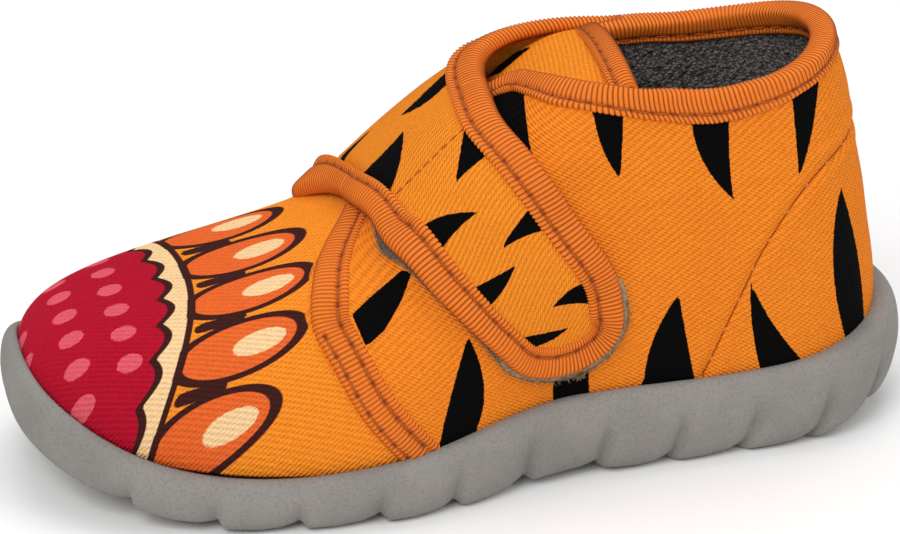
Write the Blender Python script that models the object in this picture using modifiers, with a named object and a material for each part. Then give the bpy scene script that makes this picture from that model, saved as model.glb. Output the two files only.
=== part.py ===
"""Child's left house slipper with a hook-and-loop flap.

Toe at -X, heel at +X, outer side of the foot at -Y, floor at z = 0. Sizes are in millimetres and
become metres where a mesh is made. The upper is a surface over the last: "turn" runs round the foot
in degrees, 0 at the toe and instep ridge, 180 at the heel, negative on the outer side, and "level"
counts the rows of the LAST table from the sole's feather edge up to the collar.
"""

import bmesh
import bpy
import numpy as np

MM = 0.001

# Driving sizes of the shoe
SOLE_LENGTH = 168.0
SOLE_HALF_WIDTHS = np.array((37.6, 34.2, 29.8, 29.0))  # outer ball, inner ball, waist, heel
SOLE_HEEL_AT = 0.835
TOE_SPRING = 9.5
HEEL_LIFT = 6.5
ARCH_RISE = 1.2
WALL = 2.2
FIT_GAP = 0.4

# Sections of the last, a row for each level: the toe end's x and z, the heights at the ball and the waist,
# the heel end's x and z, the half widths at the outer ball, the inner ball, the waist and the heel,
# then the share of the length at which the heel's round starts
LAST = np.array([
    (-79.5, 14.0, 6.5, 8.5, 78.0, 10.0, 32.9, 29.5, 24.0, 24.0, 0.835),
    (-81.0, 20.5, 15.5, 16.5, 79.6, 18.5, 34.5, 31.1, 25.8, 25.4, 0.83),
    (-77.8, 27.5, 25.0, 26.0, 79.4, 28.0, 33.2, 30.0, 26.2, 25.7, 0.82),
    (-67.0, 32.5, 33.5, 35.0, 77.8, 37.0, 28.8, 26.2, 25.4, 25.2, 0.80),
    (-49.0, 36.2, 40.5, 43.0, 76.0, 45.5, 24.9, 23.1, 24.2, 24.3, 0.775),
    (-28.0, 42.0, 48.2, 51.5, 73.8, 54.5, 22.2, 21.4, 22.9, 23.0, 0.745),
    (-7.0, 53.5, 58.2, 60.3, 71.0, 63.5, 20.5, 20.2, 21.6, 21.3, 0.71),
    (13.0, 67.5, 68.2, 68.4, 68.0, 72.0, 18.9, 18.7, 20.2, 19.6, 0.67),
])
COLLAR_LEVEL = len(LAST) - 1
HEIGHT_SHARES = (0.0, 0.30, 0.62, 1.0)  # where a row's four heights stand along its length
BALL_AT, WAIST_AT = (0.36, 0.31), (0.60, 0.58)  # outer side, inner side
TOE_ROUND, HEEL_ROUND = 2.55, 2.15  # exponents of the rounded ends
SWING, SWING_END = 7.5, 20.0  # the toe's curve to the inner side, and where it starts

# Outsole: height of its rim along its length, and its side wall from the tread up
RIM_SHARE = (0.0, 0.07, 0.20, 0.40, 0.58, 0.75, 0.93, 1.0)
RIM_Z = (24.0, 16.5, 10.6, 12.3, 16.4, 16.4, 19.2, 23.5)
SPRING_END, HEEL_START = 0.24, 0.91
ARCH_START, ARCH_END = 0.45, 0.68
# Columns: inset from the widest outline, rise as a share of the wall's height, depth of the lug grooves
SIDE_WALL = np.array([
    (6.5, 0.00, 0.6),
    (2.2, 0.06, 1.5),
    (0.6, 0.24, 1.2),
    (0.0, 0.46, 0.5),
    (0.4, 0.74, 0.0),
    (1.5, 0.95, 0.0),
    (2.6, 1.00, 0.0),
])
CUP_SHARES = (1.0, 0.67, 0.33, 0.0)  # rings of the cup's inside, from the rim down
LUG_FIRST_X, LUG_PITCH, LUG_COUNT = -80.6, 14.1, 12
LUG_DEPTH = 1.6
TOE_LUG_PLAIN = 0.5  # the share of the first lug, at the toe, that has no groove
LUG = ((0.0, 1.0), (0.10, 0.22), (0.22, 0.0), (0.64, 0.0))  # share along a lug from its toe end, depth
TOE_TURNS = (0.0, 5.0, 10.0, 14.5)
HEEL_TURNS = (156.0, 162.0, 168.0, 174.0, 180.0)

# Insole
INSOLE_THICK = 3.0

# Upper: grid, and the throat cut into its collar at the instep
FRONT_TURN, FRONT_STEP, UPPER_STEP, UPPER_ROWS = 18, 3, 6, 16
THROAT_LEVEL, THROAT_TURN, THROAT_POWER = 5.45, 18.0, 1.6

# Tongue from under the vamp to its top edge: x and z of its middle line, half width, drop of its sides
TONGUE = np.array([
    (-29.0, 37.0, 13.0, 3.4),
    (-13.0, 46.2, 14.0, 4.2),
    (0.0, 55.2, 13.5, 4.0),
    (10.0, 62.2, 13.0, 3.2),
    (19.5, 67.2, 12.5, 2.2),
    (28.5, 69.4, 13.2, 1.6),
])
TONGUE_THICK = 3.0
TONGUE_ROWS, TONGUE_ACROSS = 12, 9

# Flap from the inner side to its tip: turn and level of its front edge and of its rear edge, height over the last
FLAP = np.array([
    (48.0, 4.26, 49.0, 6.80, 1.8),
    (24.0, 4.92, 24.0, 6.70, 2.0),
    (0.0, 5.32, 0.0, 6.58, 2.2),
    (-21.0, 5.34, -30.0, 6.34, 2.3),
    (-40.0, 5.04, -50.0, 6.03, 2.2),
    (-56.0, 4.54, -68.0, 5.50, 2.2),
    (-70.0, 3.84, -83.0, 4.70, 2.2),
    (-80.0, 3.10, -94.5, 3.86, 2.2),
    (-86.0, 2.56, -100.5, 3.24, 2.2),
])
FLAP_TIP = (-4.2, -1.04)  # the rounded end's reach, in turn and level
FLAP_THICK = 1.6
FLAP_ROWS, FLAP_TIP_ROWS, FLAP_ACROSS = 25, 6, 6
TIP_BLUNT = 0.94  # the share of the rounded end that is built
HOOK_START, HOOK_END, HOOK_WIDTH = 4.6, 8.3, 0.46
HOOK_ROWS, HOOK_GAP, HOOK_THICK = 11, 0.6, 1.1

# Ribbed bindings, folded over an edge
TAPE = 0.7
TAPE_GAP = 0.6
COLLAR_FACE, FLAP_FACE, TONGUE_FACE, TONGUE_BACK = 5.4, 4.8, 5.0, 4.0
COLLAR_FROM, COLLAR_TO, COLLAR_STEPS = -20.0, 64.0, 47
VAMP_TAPE_WIDTH, VAMP_TAPE_STEPS = 6.4, 16
# Turn and level of the vamp tape's middle line
VAMP_TAPE = np.array([
    (-20.0, 5.04),
    (-30.0, 4.71),
    (-48.0, 3.98),
    (-61.5, 3.02),
    (-69.5, 2.27),
    (-78.8, 0.98),
])

ORANGE = (0.93, 0.30, 0.02, 1.0)
RIBBED_ORANGE = (0.80, 0.20, 0.02, 1.0)
GREY = (0.27, 0.26, 0.24, 1.0)
CHARCOAL = (0.06, 0.055, 0.055, 1.0)
BEIGE = (0.46, 0.34, 0.20, 1.0)


def natural_spline(knots, rows, at):
    """Rows joined by a natural cubic through the knots, read at the places asked for."""
    knots, rows, at = np.asarray(knots, float), np.asarray(rows, float), np.asarray(at, float)
    steps = np.diff(knots)
    slopes = np.diff(rows, axis=0) / steps[:, None]
    matrix = np.eye(len(knots))
    right = np.zeros_like(rows)
    for i in range(1, len(knots) - 1):
        matrix[i, i - 1 : i + 2] = steps[i - 1], 2 * (steps[i - 1] + steps[i]), steps[i]
        right[i] = 6 * (slopes[i] - slopes[i - 1])
    bend = np.linalg.solve(matrix, right)
    i = np.clip(np.searchsorted(knots, at, side="right") - 1, 0, len(steps) - 1)
    step = steps[i][..., None]
    after = (at - knots[i])[..., None]
    before = step - after
    cubic = (bend[i] * before**3 + bend[i + 1] * after**3) / (6 * step)
    low = (rows[i] / step - bend[i] * step / 6) * before
    high = (rows[i + 1] / step - bend[i + 1] * step / 6) * after
    return cubic + low + high


def table_at(table, at):
    """A table's columns between its rows, counted from 0."""
    return np.moveaxis(natural_spline(np.arange(len(table)), table, at), -1, 0)


def ease(start, end, share):
    return start + (end - start) * (1 - np.cos(np.pi * np.clip(share, 0, 1))) / 2


def rounded_end(share, power):
    return (1 - (1 - np.clip(share, 0, 1)) ** power) ** (1 / power)


def foot_axis(x):
    """The y of the foot's middle line, which curves to the inner side at the toe."""
    return SWING * np.clip((SWING_END - x) / (SWING_END + SOLE_LENGTH / 2), 0, None) ** 2


def half_width(share, outer, outer_ball, inner_ball, waist, heel, heel_at):
    """Half width of a foot-shaped outline, from its toe at 0 to its heel at 1."""
    ball_at, waist_at = (np.where(outer, *pair) for pair in (BALL_AT, WAIST_AT))
    ball = np.where(outer, outer_ball, inner_ball)
    toe = ball * rounded_end(share / ball_at, TOE_ROUND)
    front = ease(ball, waist, (share - ball_at) / (waist_at - ball_at))
    rear = ease(waist, heel, (share - waist_at) / (heel_at - waist_at))
    back = heel * rounded_end((1 - share) / (1 - heel_at), HEEL_ROUND)
    return np.select([share < ball_at, share < waist_at, share < heel_at], [toe, front, rear], back)


def outline(turn, front_x, back_x, *widths):
    """x, y and share of a foot-shaped outline at a turn."""
    turn = (turn + 180) % 360 - 180
    share = (1 - np.cos(np.radians(turn))) / 2
    outer = turn < 0
    side = np.where(outer, -1, 1)
    x = front_x + (back_x - front_x) * share
    y = foot_axis(x) + side * half_width(share, outer, *widths)
    return x, y, share


def last_point(turn, level):
    """A point on the upper's outer face."""
    turn, level = np.broadcast_arrays(np.asarray(turn, float), np.asarray(level, float))
    front_x, front_z, ball_z, waist_z, back_x, back_z, *widths = table_at(LAST, level)
    x, y, share = outline(turn, front_x, back_x, *widths)
    z = np.zeros_like(share)
    for height, at in zip((front_z, ball_z, waist_z, back_z), HEIGHT_SHARES):
        others = [other for other in HEIGHT_SHARES if other != at]
        weight = np.prod([(share - other) / (at - other) for other in others], axis=0)
        z = z + height * weight
    return np.stack([x, y, z], axis=-1)


def unit(vectors):
    return vectors / np.linalg.norm(vectors, axis=-1, keepdims=True)


def last_up(turn, level):
    """The direction up the upper's face, towards the collar."""
    return unit(last_point(turn, level + 0.02) - last_point(turn, level - 0.02))


def last_normal(turn, level):
    round_foot = last_point(turn + 0.5, level) - last_point(turn - 0.5, level)
    return unit(np.cross(last_up(turn, level), round_foot))


def over_last(turn, level, height):
    """A point at a height above the upper's outer face, or inside it where the height is negative."""
    height = np.asarray(height, float)[..., None]
    return last_point(turn, level) + height * last_normal(turn, level)


def step_on_last(turn, level, direction):
    """Change of turn and level that moves a point 1 mm over the last in a direction."""
    by_turn = last_point(turn + 0.5, level) - last_point(turn - 0.5, level)
    by_level = (last_point(turn, level + 0.02) - last_point(turn, level - 0.02)) / 0.04
    sides = np.stack([by_turn, by_level], axis=-1)
    return np.moveaxis(np.linalg.pinv(sides) @ direction[..., None], -1, 0)[0].T


def ring_turns(steps):
    """Turns all round from the toe: the outer side to the heel, then the inner side back."""
    steps = np.asarray(steps, float)
    return np.concatenate([-steps, steps[-2:0:-1]])


def upper_turns():
    """Turns of the upper's sections, closer together over the toe and instep."""
    return ring_turns([*range(0, FRONT_TURN, FRONT_STEP), *range(FRONT_TURN, 181, UPPER_STEP)])


def grid_faces(rows, columns, wrap):
    """Quads between rows of points, each row closed on itself where wrap is set."""
    faces = []
    for r in range(rows - 1):
        for c in range(columns if wrap else columns - 1):
            d = (c + 1) % columns
            faces.append((r * columns + c, r * columns + d, (r + 1) * columns + d, (r + 1) * columns + c))
    return faces


def ladder_faces(first, count):
    """Cross strips that fill a ring of points laid out as in ring_turns."""
    faces = [(first, first + 1, first + count - 1)]
    for i in range(1, count // 2 - 1):
        faces.append((first + i, first + i + 1, first + count - i - 1, first + count - i))
    middle = count // 2
    faces.append((first + middle - 1, first + middle, first + middle + 1))
    return faces


def material(name, colour, roughness):
    made = bpy.data.materials.new(name)
    made.use_nodes = True
    shader = made.node_tree.nodes["Principled BSDF"]
    shader.inputs["Base Color"].default_value = colour
    shader.inputs["Roughness"].default_value = roughness
    shader.inputs["Metallic"].default_value = 0.0
    return made


def add_part(name, points, faces, colour, roughness, closed=True):
    """A named object from points in millimetres, moved so that the sole is centred on the origin."""
    mesh = bpy.data.meshes.new(name)
    centred = np.reshape(points, (-1, 3)) - (0, CENTRE_Y, 0)
    mesh.from_pydata((centred * MM).tolist(), [], faces)
    if closed:
        work = bmesh.new()
        work.from_mesh(mesh)
        bmesh.ops.recalc_face_normals(work, faces=work.faces)
        work.to_mesh(mesh)
        work.free()
    mesh.shade_smooth()
    mesh.set_sharp_from_angle(angle=np.radians(40))
    mesh.materials.append(material(name, colour, roughness))
    part = bpy.data.objects.new(name, mesh)
    COLLECTION.objects.link(part)
    return part


def thicken(part, thickness, offset):
    """Gives an open surface its thickness, inwards where offset is -1 and outwards where it is 1."""
    shell = part.modifiers.new("wall", "SOLIDIFY")
    shell.thickness = thickness * MM
    shell.offset = offset


def capped_rings(rings):
    """Points and faces of a closed section carried along a path, with flat ends."""
    rows, columns = rings.shape[:2]
    faces = grid_faces(rows, columns, wrap=True)
    faces.append(tuple(range(columns)))
    faces.append(tuple(range((rows - 1) * columns, rows * columns)))
    return rings, faces


def folded_tape(thick, face, back):
    """Section of a tape folded over an edge whose wall runs from 0 down to -thick along the normal."""
    inner, outer = TAPE_GAP, TAPE_GAP + TAPE
    round_off = 0.35 * TAPE
    return (
        (face, outer),
        (face / 2, outer),
        (-inner, outer),
        (round_off - outer, outer - round_off),
        (-outer, 0.0),
        (-outer, -thick),
        (round_off - outer, round_off - thick - outer),
        (-inner, -thick - outer),
        (back, -thick - outer),
        (back, -thick - inner),
        (-inner, -thick - inner),
        (-inner, inner),
        (face / 2, inner),
        (face, inner),
    )


def tape_on_last(turn, level, height, across, section):
    """A tape that follows the last: its section's pairs are distances across and above the height."""
    turn_step, level_step = step_on_last(turn, level, across)
    shift, rise = np.asarray(section, float).T
    turns = turn[:, None] + turn_step[:, None] * shift
    levels = level[:, None] + level_step[:, None] * shift
    return capped_rings(over_last(turns, levels, height[:, None] + rise))


def lug_wave(x):
    """Depth of the tread's grooves at x, from 1 at a groove's bottom to 0 on a lug's flat."""
    place = (x - LUG_FIRST_X) / LUG_PITCH
    shares, depths = zip(*LUG, (1.0, 1.0))
    wave = np.interp(place - np.floor(place), shares, depths)
    return np.where((place > TOE_LUG_PLAIN) & (place <= LUG_COUNT), wave, 0.0)


def tread_z(share):
    """Height of the sole's underside without its grooves: toe spring, arch and heel lift."""
    toe = TOE_SPRING * np.clip((SPRING_END - share) / SPRING_END, 0, 1) ** 2
    heel = HEEL_LIFT * np.clip((share - HEEL_START) / (1 - HEEL_START), 0, 1) ** 2
    arch = ARCH_RISE * np.sin(np.pi * np.clip((share - ARCH_START) / (ARCH_END - ARCH_START), 0, 1)) ** 2
    return toe + heel + arch


def rim_z(share):
    return natural_spline(RIM_SHARE, np.array(RIM_Z)[:, None], share)[..., 0]


def sole_turns():
    """Turns of the sole's sections, so that every lug has the same places along it."""
    starts = LUG_FIRST_X + LUG_PITCH * np.arange(LUG_COUNT)
    places = [start + share * LUG_PITCH for start in starts for share, _ in LUG]
    shares = np.array(places) / SOLE_LENGTH + 0.5
    lugs = np.degrees(np.arccos(1 - 2 * shares[shares < 0.95]))
    return ring_turns(np.concatenate([TOE_TURNS, lugs, HEEL_TURNS]))


def sole_side_ring(turns, inset, rise, groove):
    """One ring of the sole's outside, from the tread's edge to the rim."""
    half = SOLE_LENGTH / 2
    x, y, share = outline(turns, inset - half, half - inset, *(SOLE_HALF_WIDTHS - inset), SOLE_HEEL_AT)
    wave = lug_wave(2 * half * share - half)
    low = tread_z(share)
    low = low + LUG_DEPTH * wave * (1 - rise)
    high = rim_z(share)
    middle = foot_axis(x)
    narrowed = middle + (y - middle) * (1 - groove * wave / SOLE_HALF_WIDTHS.max())
    return np.stack([x, narrowed, low + (high - low) * rise], axis=-1)


def level_at_height(turns, height):
    """Level at which the last reaches a height, for each turn."""
    levels = np.linspace(0, 3, 61)
    heights = last_point(turns[:, None], levels[None])[..., 2]
    return np.array([np.interp(z, row, levels) for z, row in zip(height, heights)])


def make_outsole():
    turns = sole_turns()
    rings = [sole_side_ring(turns, *row) for row in SIDE_WALL]
    rim_level = level_at_height(turns, rings[-1][:, 2] - FIT_GAP)
    for share in CUP_SHARES:
        rings.append(over_last(turns, rim_level * share, FIT_GAP))
    rings[-1][:, 2] = last_point(turns, 0.0)[:, 2] - FIT_GAP
    count = len(turns)
    faces = grid_faces(len(rings), count, wrap=True)
    faces += ladder_faces(0, count) + ladder_faces((len(rings) - 1) * count, count)
    return add_part("outsole", rings, faces, GREY, 0.75)


def make_insole():
    turns = upper_turns()
    edge = last_point(turns, 0.0)
    outward = last_normal(turns, 0.0) * (1, 1, 0)
    inside = edge - unit(outward) * (WALL + FIT_GAP)
    rings = np.array([inside, inside + (0, 0, INSOLE_THICK)])
    count = len(turns)
    faces = grid_faces(2, count, wrap=True) + ladder_faces(0, count) + ladder_faces(count, count)
    return add_part("insole", rings, faces, CHARCOAL, 0.95)


def collar_edge(turn):
    """Level of the upper's top edge: the collar, and the throat's dip at the instep."""
    dip = 1 - np.clip(np.abs(turn) / THROAT_TURN, 0, 1) ** THROAT_POWER
    return COLLAR_LEVEL - (COLLAR_LEVEL - THROAT_LEVEL) * dip


def make_upper():
    turns = upper_turns()
    shares = np.linspace(0, 1, UPPER_ROWS)
    points = last_point(turns[None], shares[:, None] * collar_edge(turns)[None])
    faces = grid_faces(UPPER_ROWS, len(turns), wrap=True)
    upper = add_part("upper", points, faces, ORANGE, 0.85, closed=False)
    thicken(upper, WALL, -1)
    return upper


def tongue_frame(along):
    """Middle points of the tongue with its half width and drop, and the direction away from the foot."""
    x, z, half, drop = table_at(TONGUE, along)
    middle = np.stack([x, foot_axis(x), z], axis=-1)
    forward = unit(np.gradient(middle, axis=0))
    normal = unit(np.cross(forward, (0, 1, 0)))
    return middle, half, drop, forward, normal


def tongue_points(along, height):
    """Arched rows of points across the tongue, at a height above its upper face."""
    middle, half, drop, _, normal = tongue_frame(along)
    across = np.linspace(1, -1, TONGUE_ACROSS)
    y = half[:, None] * across
    fall = height - drop[:, None] * across**2
    return middle[:, None] + y[..., None] * np.array((0, 1, 0)) + fall[..., None] * normal[:, None]


def make_tongue():
    along = np.linspace(0, len(TONGUE) - 1, TONGUE_ROWS)
    points = tongue_points(along, 0.0)
    faces = grid_faces(TONGUE_ROWS, TONGUE_ACROSS, wrap=False)
    tongue = add_part("tongue", points, faces, ORANGE, 0.85, closed=False)
    thicken(tongue, TONGUE_THICK, -1)
    return tongue


def make_tongue_binding():
    along = np.linspace(0, len(TONGUE) - 1, TONGUE_ROWS)
    _, _, _, forward, normal = tongue_frame(along)
    edge = tongue_points(along, 0.0)[-1]
    shift, rise = np.array(folded_tape(TONGUE_THICK, TONGUE_FACE, TONGUE_BACK)).T
    section = rise[:, None] * normal[-1] - shift[:, None] * forward[-1]
    points, faces = capped_rings(edge[:, None] + section[None])
    return add_part("tongue_binding", points, faces, RIBBED_ORANGE, 0.8)


def flap_place(along, across):
    """Turn, level and lift on the flap: along counts the table's rows, the last 1 being the rounded tip.

    Across runs from -1 at the front edge to 1 at the rear edge.
    """
    body = len(FLAP) - 1
    front_turn, front_level, rear_turn, rear_level, lift = table_at(FLAP, np.minimum(along, body))
    bend = np.clip(along - body, 0, 1) * np.pi / 2
    turn = (front_turn + rear_turn) / 2 + FLAP_TIP[0] * np.sin(bend)
    level = (front_level + rear_level) / 2 + FLAP_TIP[1] * np.sin(bend)
    turn = turn + across * np.cos(bend) * (rear_turn - front_turn) / 2
    level = level + across * np.cos(bend) * (rear_level - front_level) / 2
    return turn, level, lift


def flap_rows():
    body = len(FLAP) - 1
    tip = body + TIP_BLUNT * np.linspace(0, 1, FLAP_TIP_ROWS)[1:]
    return np.concatenate([np.linspace(0, body, FLAP_ROWS), tip])


def flap_surface(along, across, height=None):
    turn, level, lift = flap_place(along[:, None], across[None])
    return over_last(turn, level, lift if height is None else np.full_like(lift + turn, height))


def make_flap():
    rows = flap_rows()
    points = flap_surface(rows, np.linspace(1, -1, FLAP_ACROSS))
    faces = grid_faces(len(rows), FLAP_ACROSS, wrap=False)
    flap = add_part("closure_flap", points, faces, ORANGE, 0.85, closed=False)
    thicken(flap, FLAP_THICK, 1)
    return flap


def make_hook_tape():
    rows = np.linspace(HOOK_START, HOOK_END, HOOK_ROWS)
    points = flap_surface(rows, np.linspace(HOOK_WIDTH, -HOOK_WIDTH, FLAP_ACROSS), HOOK_GAP)
    faces = grid_faces(len(rows), FLAP_ACROSS, wrap=False)
    tape = add_part("hook_tape", points, faces, BEIGE, 0.95, closed=False)
    thicken(tape, HOOK_THICK, 1)
    return tape


def make_flap_binding():
    rows = flap_rows()
    along = np.concatenate([rows, rows[::-1]])
    across = np.concatenate([np.full(len(rows), -1.0), np.full(len(rows), 1.0)])
    turn, level, lift = flap_place(along, across)
    path = last_point(turn, level)
    inward = unit(np.cross(last_normal(turn, level), np.gradient(path, axis=0)))
    section = folded_tape(FLAP_THICK, FLAP_FACE, FLAP_FACE / 2)
    points, faces = tape_on_last(turn, level, lift + FLAP_THICK, inward, section)
    return add_part("flap_binding", points, faces, RIBBED_ORANGE, 0.8)


def make_collar_binding():
    turn = np.linspace(COLLAR_FROM, COLLAR_TO - 360, COLLAR_STEPS)
    level = np.full_like(turn, COLLAR_LEVEL)
    section = folded_tape(WALL, COLLAR_FACE, COLLAR_FACE)
    points, faces = tape_on_last(turn, level, np.zeros_like(turn), -last_up(turn, level), section)
    return add_part("collar_binding", points, faces, RIBBED_ORANGE, 0.8)


def make_vamp_binding():
    turn, level = table_at(VAMP_TAPE, np.linspace(0, len(VAMP_TAPE) - 1, VAMP_TAPE_STEPS))
    across = unit(np.cross(last_normal(turn, level), np.gradient(last_point(turn, level), axis=0)))
    half, low, high = VAMP_TAPE_WIDTH / 2, TAPE_GAP, TAPE_GAP + TAPE
    section = ((-half, low), (0, low), (half, low), (half, high), (0, high), (-half, high))
    points, faces = tape_on_last(turn, level, np.zeros_like(turn), across, section)
    return add_part("vamp_binding", points, faces, RIBBED_ORANGE, 0.8)


def sole_centre_y():
    widest = sole_side_ring(sole_turns(), *SIDE_WALL[3])[:, 1]
    return (widest.min() + widest.max()) / 2


for old in list(bpy.data.objects):
    bpy.data.objects.remove(old)
COLLECTION = bpy.data.collections.new("house_slipper")
bpy.context.scene.collection.children.link(COLLECTION)
CENTRE_Y = sole_centre_y()

make_outsole()
make_insole()
make_upper()
make_tongue()
make_flap()
make_hook_tape()
make_collar_binding()
make_flap_binding()
make_vamp_binding()
make_tongue_binding()
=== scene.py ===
"""Looks of the child's left house slipper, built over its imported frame.

Toe at -X, heel at +X, outer side of the foot at -Y, floor at z = 0. Lengths are in millimetres and become
metres where a mesh is made. The upper is a surface over the last: "turn" runs round the foot in degrees, 0 at
the toe and instep ridge, 180 at the heel, negative on the outer side, and "level" counts the rows of the LAST
table from the sole's feather edge up to the collar. Stripes are laid out in pixels of the 900 x 534 view.
"""

import bmesh
import bpy
import numpy as np
from mathutils import Matrix, Vector


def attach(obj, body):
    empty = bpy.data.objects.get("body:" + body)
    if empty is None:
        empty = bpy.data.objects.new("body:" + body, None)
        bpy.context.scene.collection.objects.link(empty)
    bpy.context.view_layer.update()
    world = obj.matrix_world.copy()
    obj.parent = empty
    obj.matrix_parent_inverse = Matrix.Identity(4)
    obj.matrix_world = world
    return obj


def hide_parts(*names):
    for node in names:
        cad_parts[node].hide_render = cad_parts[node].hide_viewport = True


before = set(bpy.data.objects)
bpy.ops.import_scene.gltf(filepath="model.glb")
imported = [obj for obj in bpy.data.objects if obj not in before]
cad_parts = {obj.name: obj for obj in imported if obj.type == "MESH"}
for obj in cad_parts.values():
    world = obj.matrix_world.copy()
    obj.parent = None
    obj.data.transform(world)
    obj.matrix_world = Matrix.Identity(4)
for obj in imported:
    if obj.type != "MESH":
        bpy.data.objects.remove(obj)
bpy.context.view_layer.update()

MM = 0.001
RANDOM = np.random.default_rng(11)
CENTRE_Y = 0.1745  # the part's own shift, which puts the sole's middle on the origin
UPRIGHT = np.array((0, 0, 1))
MERGE = 0.002  # points nearer than this are one

# Camera: where it stands, where it looks, and its focal length in pixels of the view
VIEW_WIDTH, VIEW_HEIGHT = 900, 534
EYE = np.array((-113.97, -426.24, 224.02))
AZIMUTH, ELEVATION, ROLL = -14.69, 23.54, -0.80
FOCAL_PIXELS = 2627.5
SENSOR = 36.0

# Lights: place in metres, size and power
LIGHTS = {
    "key": ((-0.55, -0.75, 0.95), 0.7, 8.3),
    "fill": ((0.75, -0.55, 0.6), 0.7, 2.3),
    "top": ((0.1, 0.35, 1.2), 0.9, 5.4),
}
WORLD_STRENGTH = 0.49
FLOOR_HALF = 4

# Points along and across the pieces
SOLE_POINTS, SOLE_RINGS, TREAD_COLUMNS = 421, 31, 25
FOOTBED_POINTS, FOOTBED_COLUMNS = 121, 41
UPPER_POINTS, UPPER_ROWS = 601, 139
LINING_POINTS, LINING_ROWS = 421, 91
TONGUE_ROWS, TONGUE_COLUMNS = 90, 61
FLAP_ROWS, FLAP_TIP_ROWS, FLAP_COLUMNS = 210, 30, 71
HOOK_ROWS, HOOK_TIP_ROWS, HOOK_COLUMNS = 130, 24, 41
COLLAR_POINTS, FOLD_POINTS, TIP_POINTS, SHORT_POINTS, SEAM_POINTS = 400, 200, 60, 50, 60

# Driving sizes of the shoe
SOLE_LENGTH = 168.0
SOLE_HALF_WIDTHS = np.array((37.6, 34.2, 29.8, 29.0))  # outer ball, inner ball, waist, heel
SOLE_HEEL_AT = 0.835
TOE_SPRING, HEEL_LIFT, ARCH_RISE = 9.5, 8.6, 1.2
WALL = 2.2

# Sections of the last, a row for each level: the toe end's x and z, the heights at the ball and the waist,
# the heel end's x and z, the half widths at the outer ball, the inner ball, the waist and the heel,
# then the share of the length at which the heel's round starts
LAST = np.array([
    (-79.5, 14.0, 6.5, 8.5, 77.2, 10.0, 32.9, 29.5, 24.0, 24.0, 0.835),
    (-81.0, 20.5, 15.5, 16.5, 78.4, 18.5, 34.5, 31.1, 25.8, 25.4, 0.83),
    (-77.8, 27.5, 25.0, 26.0, 78.1, 28.0, 33.2, 30.0, 26.2, 25.7, 0.82),
    (-67.0, 32.5, 33.5, 35.0, 76.6, 37.0, 28.8, 26.2, 25.4, 25.2, 0.80),
    (-49.0, 36.2, 40.5, 43.0, 75.2, 45.5, 24.9, 23.1, 24.2, 24.3, 0.775),
    (-28.0, 42.0, 48.2, 51.5, 73.2, 54.5, 22.2, 21.4, 22.9, 23.0, 0.745),
    (-7.0, 53.5, 58.2, 60.3, 71.6, 63.5, 20.5, 20.2, 21.6, 21.5, 0.71),
    (13.0, 67.5, 68.2, 68.4, 68.5, 72.0, 18.9, 18.7, 20.15, 20.1, 0.67),
])
HEIGHT_SHARES = (0.0, 0.30, 0.62, 1.0)  # where a row's four heights stand along its length
BALL_AT, WAIST_AT = (0.36, 0.31), (0.60, 0.58)  # outer side, inner side
TOE_ROUND, HEEL_ROUND = 2.55, 2.15  # exponents of the rounded ends
SWING, SWING_END = 7.5, 20.0  # the toe's curve to the inner side, and where it starts
TURN_STEP, LEVEL_STEP = 0.5, 0.02  # steps for directions on the last

# Outsole: height of its rim along its length, and its side wall from the tread up
RIM_SHARE = (0.0, 0.07, 0.20, 0.40, 0.58, 0.75, 0.93, 1.0)
RIM_Z = (24.0, 16.5, 10.6, 12.3, 16.4, 16.4, 19.0, 21.8)
SPRING_END, HEEL_START = 0.24, 0.85
ARCH_START, ARCH_END = 0.45, 0.68
# Columns: inset from the widest outline, rise as a share of the wall's height, depth of the lug grooves
SIDE_WALL = np.array([
    (7.5, 0.00, 0.6),
    (4.0, 0.01, 1.2),
    (2.0, 0.07, 1.6),
    (0.8, 0.20, 1.5),
    (0.2, 0.38, 1.0),
    (0.0, 0.56, 0.45),
    (0.3, 0.76, 0.1),
    (0.9, 0.90, 0.0),
    (1.7, 0.975, 0.0),
    (2.6, 1.00, 0.0),
])
# The rim's turn inwards. Columns: height over the upper's face, drop in level
RIM_LIP = ((0.5, 0.0), (0.15, 0.02), (0.1, 0.1), (0.1, 0.25))
RIM_LOWER = 0.2
LUG_FIRST_X, LUG_PITCH, LUG_COUNT = -82.4, 14.4, 11.45
HEEL_LUG, HEEL_PITCH = 10, 12.4  # the lugs round the heel are shorter
LUG_DEPTH = 1.25
TOE_LUG_PLAIN = 0.5  # the share of the first lug, at the toe, that has no groove
# Columns: place along a lug, share of the groove's depth
LUG = np.array([
    (0.0, 1.0), (0.03, 0.62), (0.06, 0.20), (0.11, 0.0), (0.45, 0.03), (0.75, 0.28), (0.93, 0.72), (1.0, 1.0),
])
LUG_LEAN = 1.8  # how far a groove leans to the heel from the tread to the rim
# Creases above the grooves: width, depth, middle and reach up the wall, then their strength at the toe as a
# share of that behind the ball, and the share of the length from which and over which it grows
CREASE_WIDTH, CREASE_DEPTH, CREASE_AT, CREASE_REACH = 1.4, 0.95, 0.42, 0.26
CREASE_AT_TOE, CREASE_GROWS = 0.35, 0.3

# Footbed: gap to the wall, thickness and crown, and the exponents of its edges across and along
FOOTBED_GAP, FOOTBED_THICK, FOOTBED_CROWN = 0.3, 2.0, 1.0
FOOTBED_EDGES = (8, 16)
FOOTBED_NAP, LINING_NAP, TONGUE_NAP, HOOK_NAP = 0.35, 0.28, 0.25, 0.18  # random relief of soft faces

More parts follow.
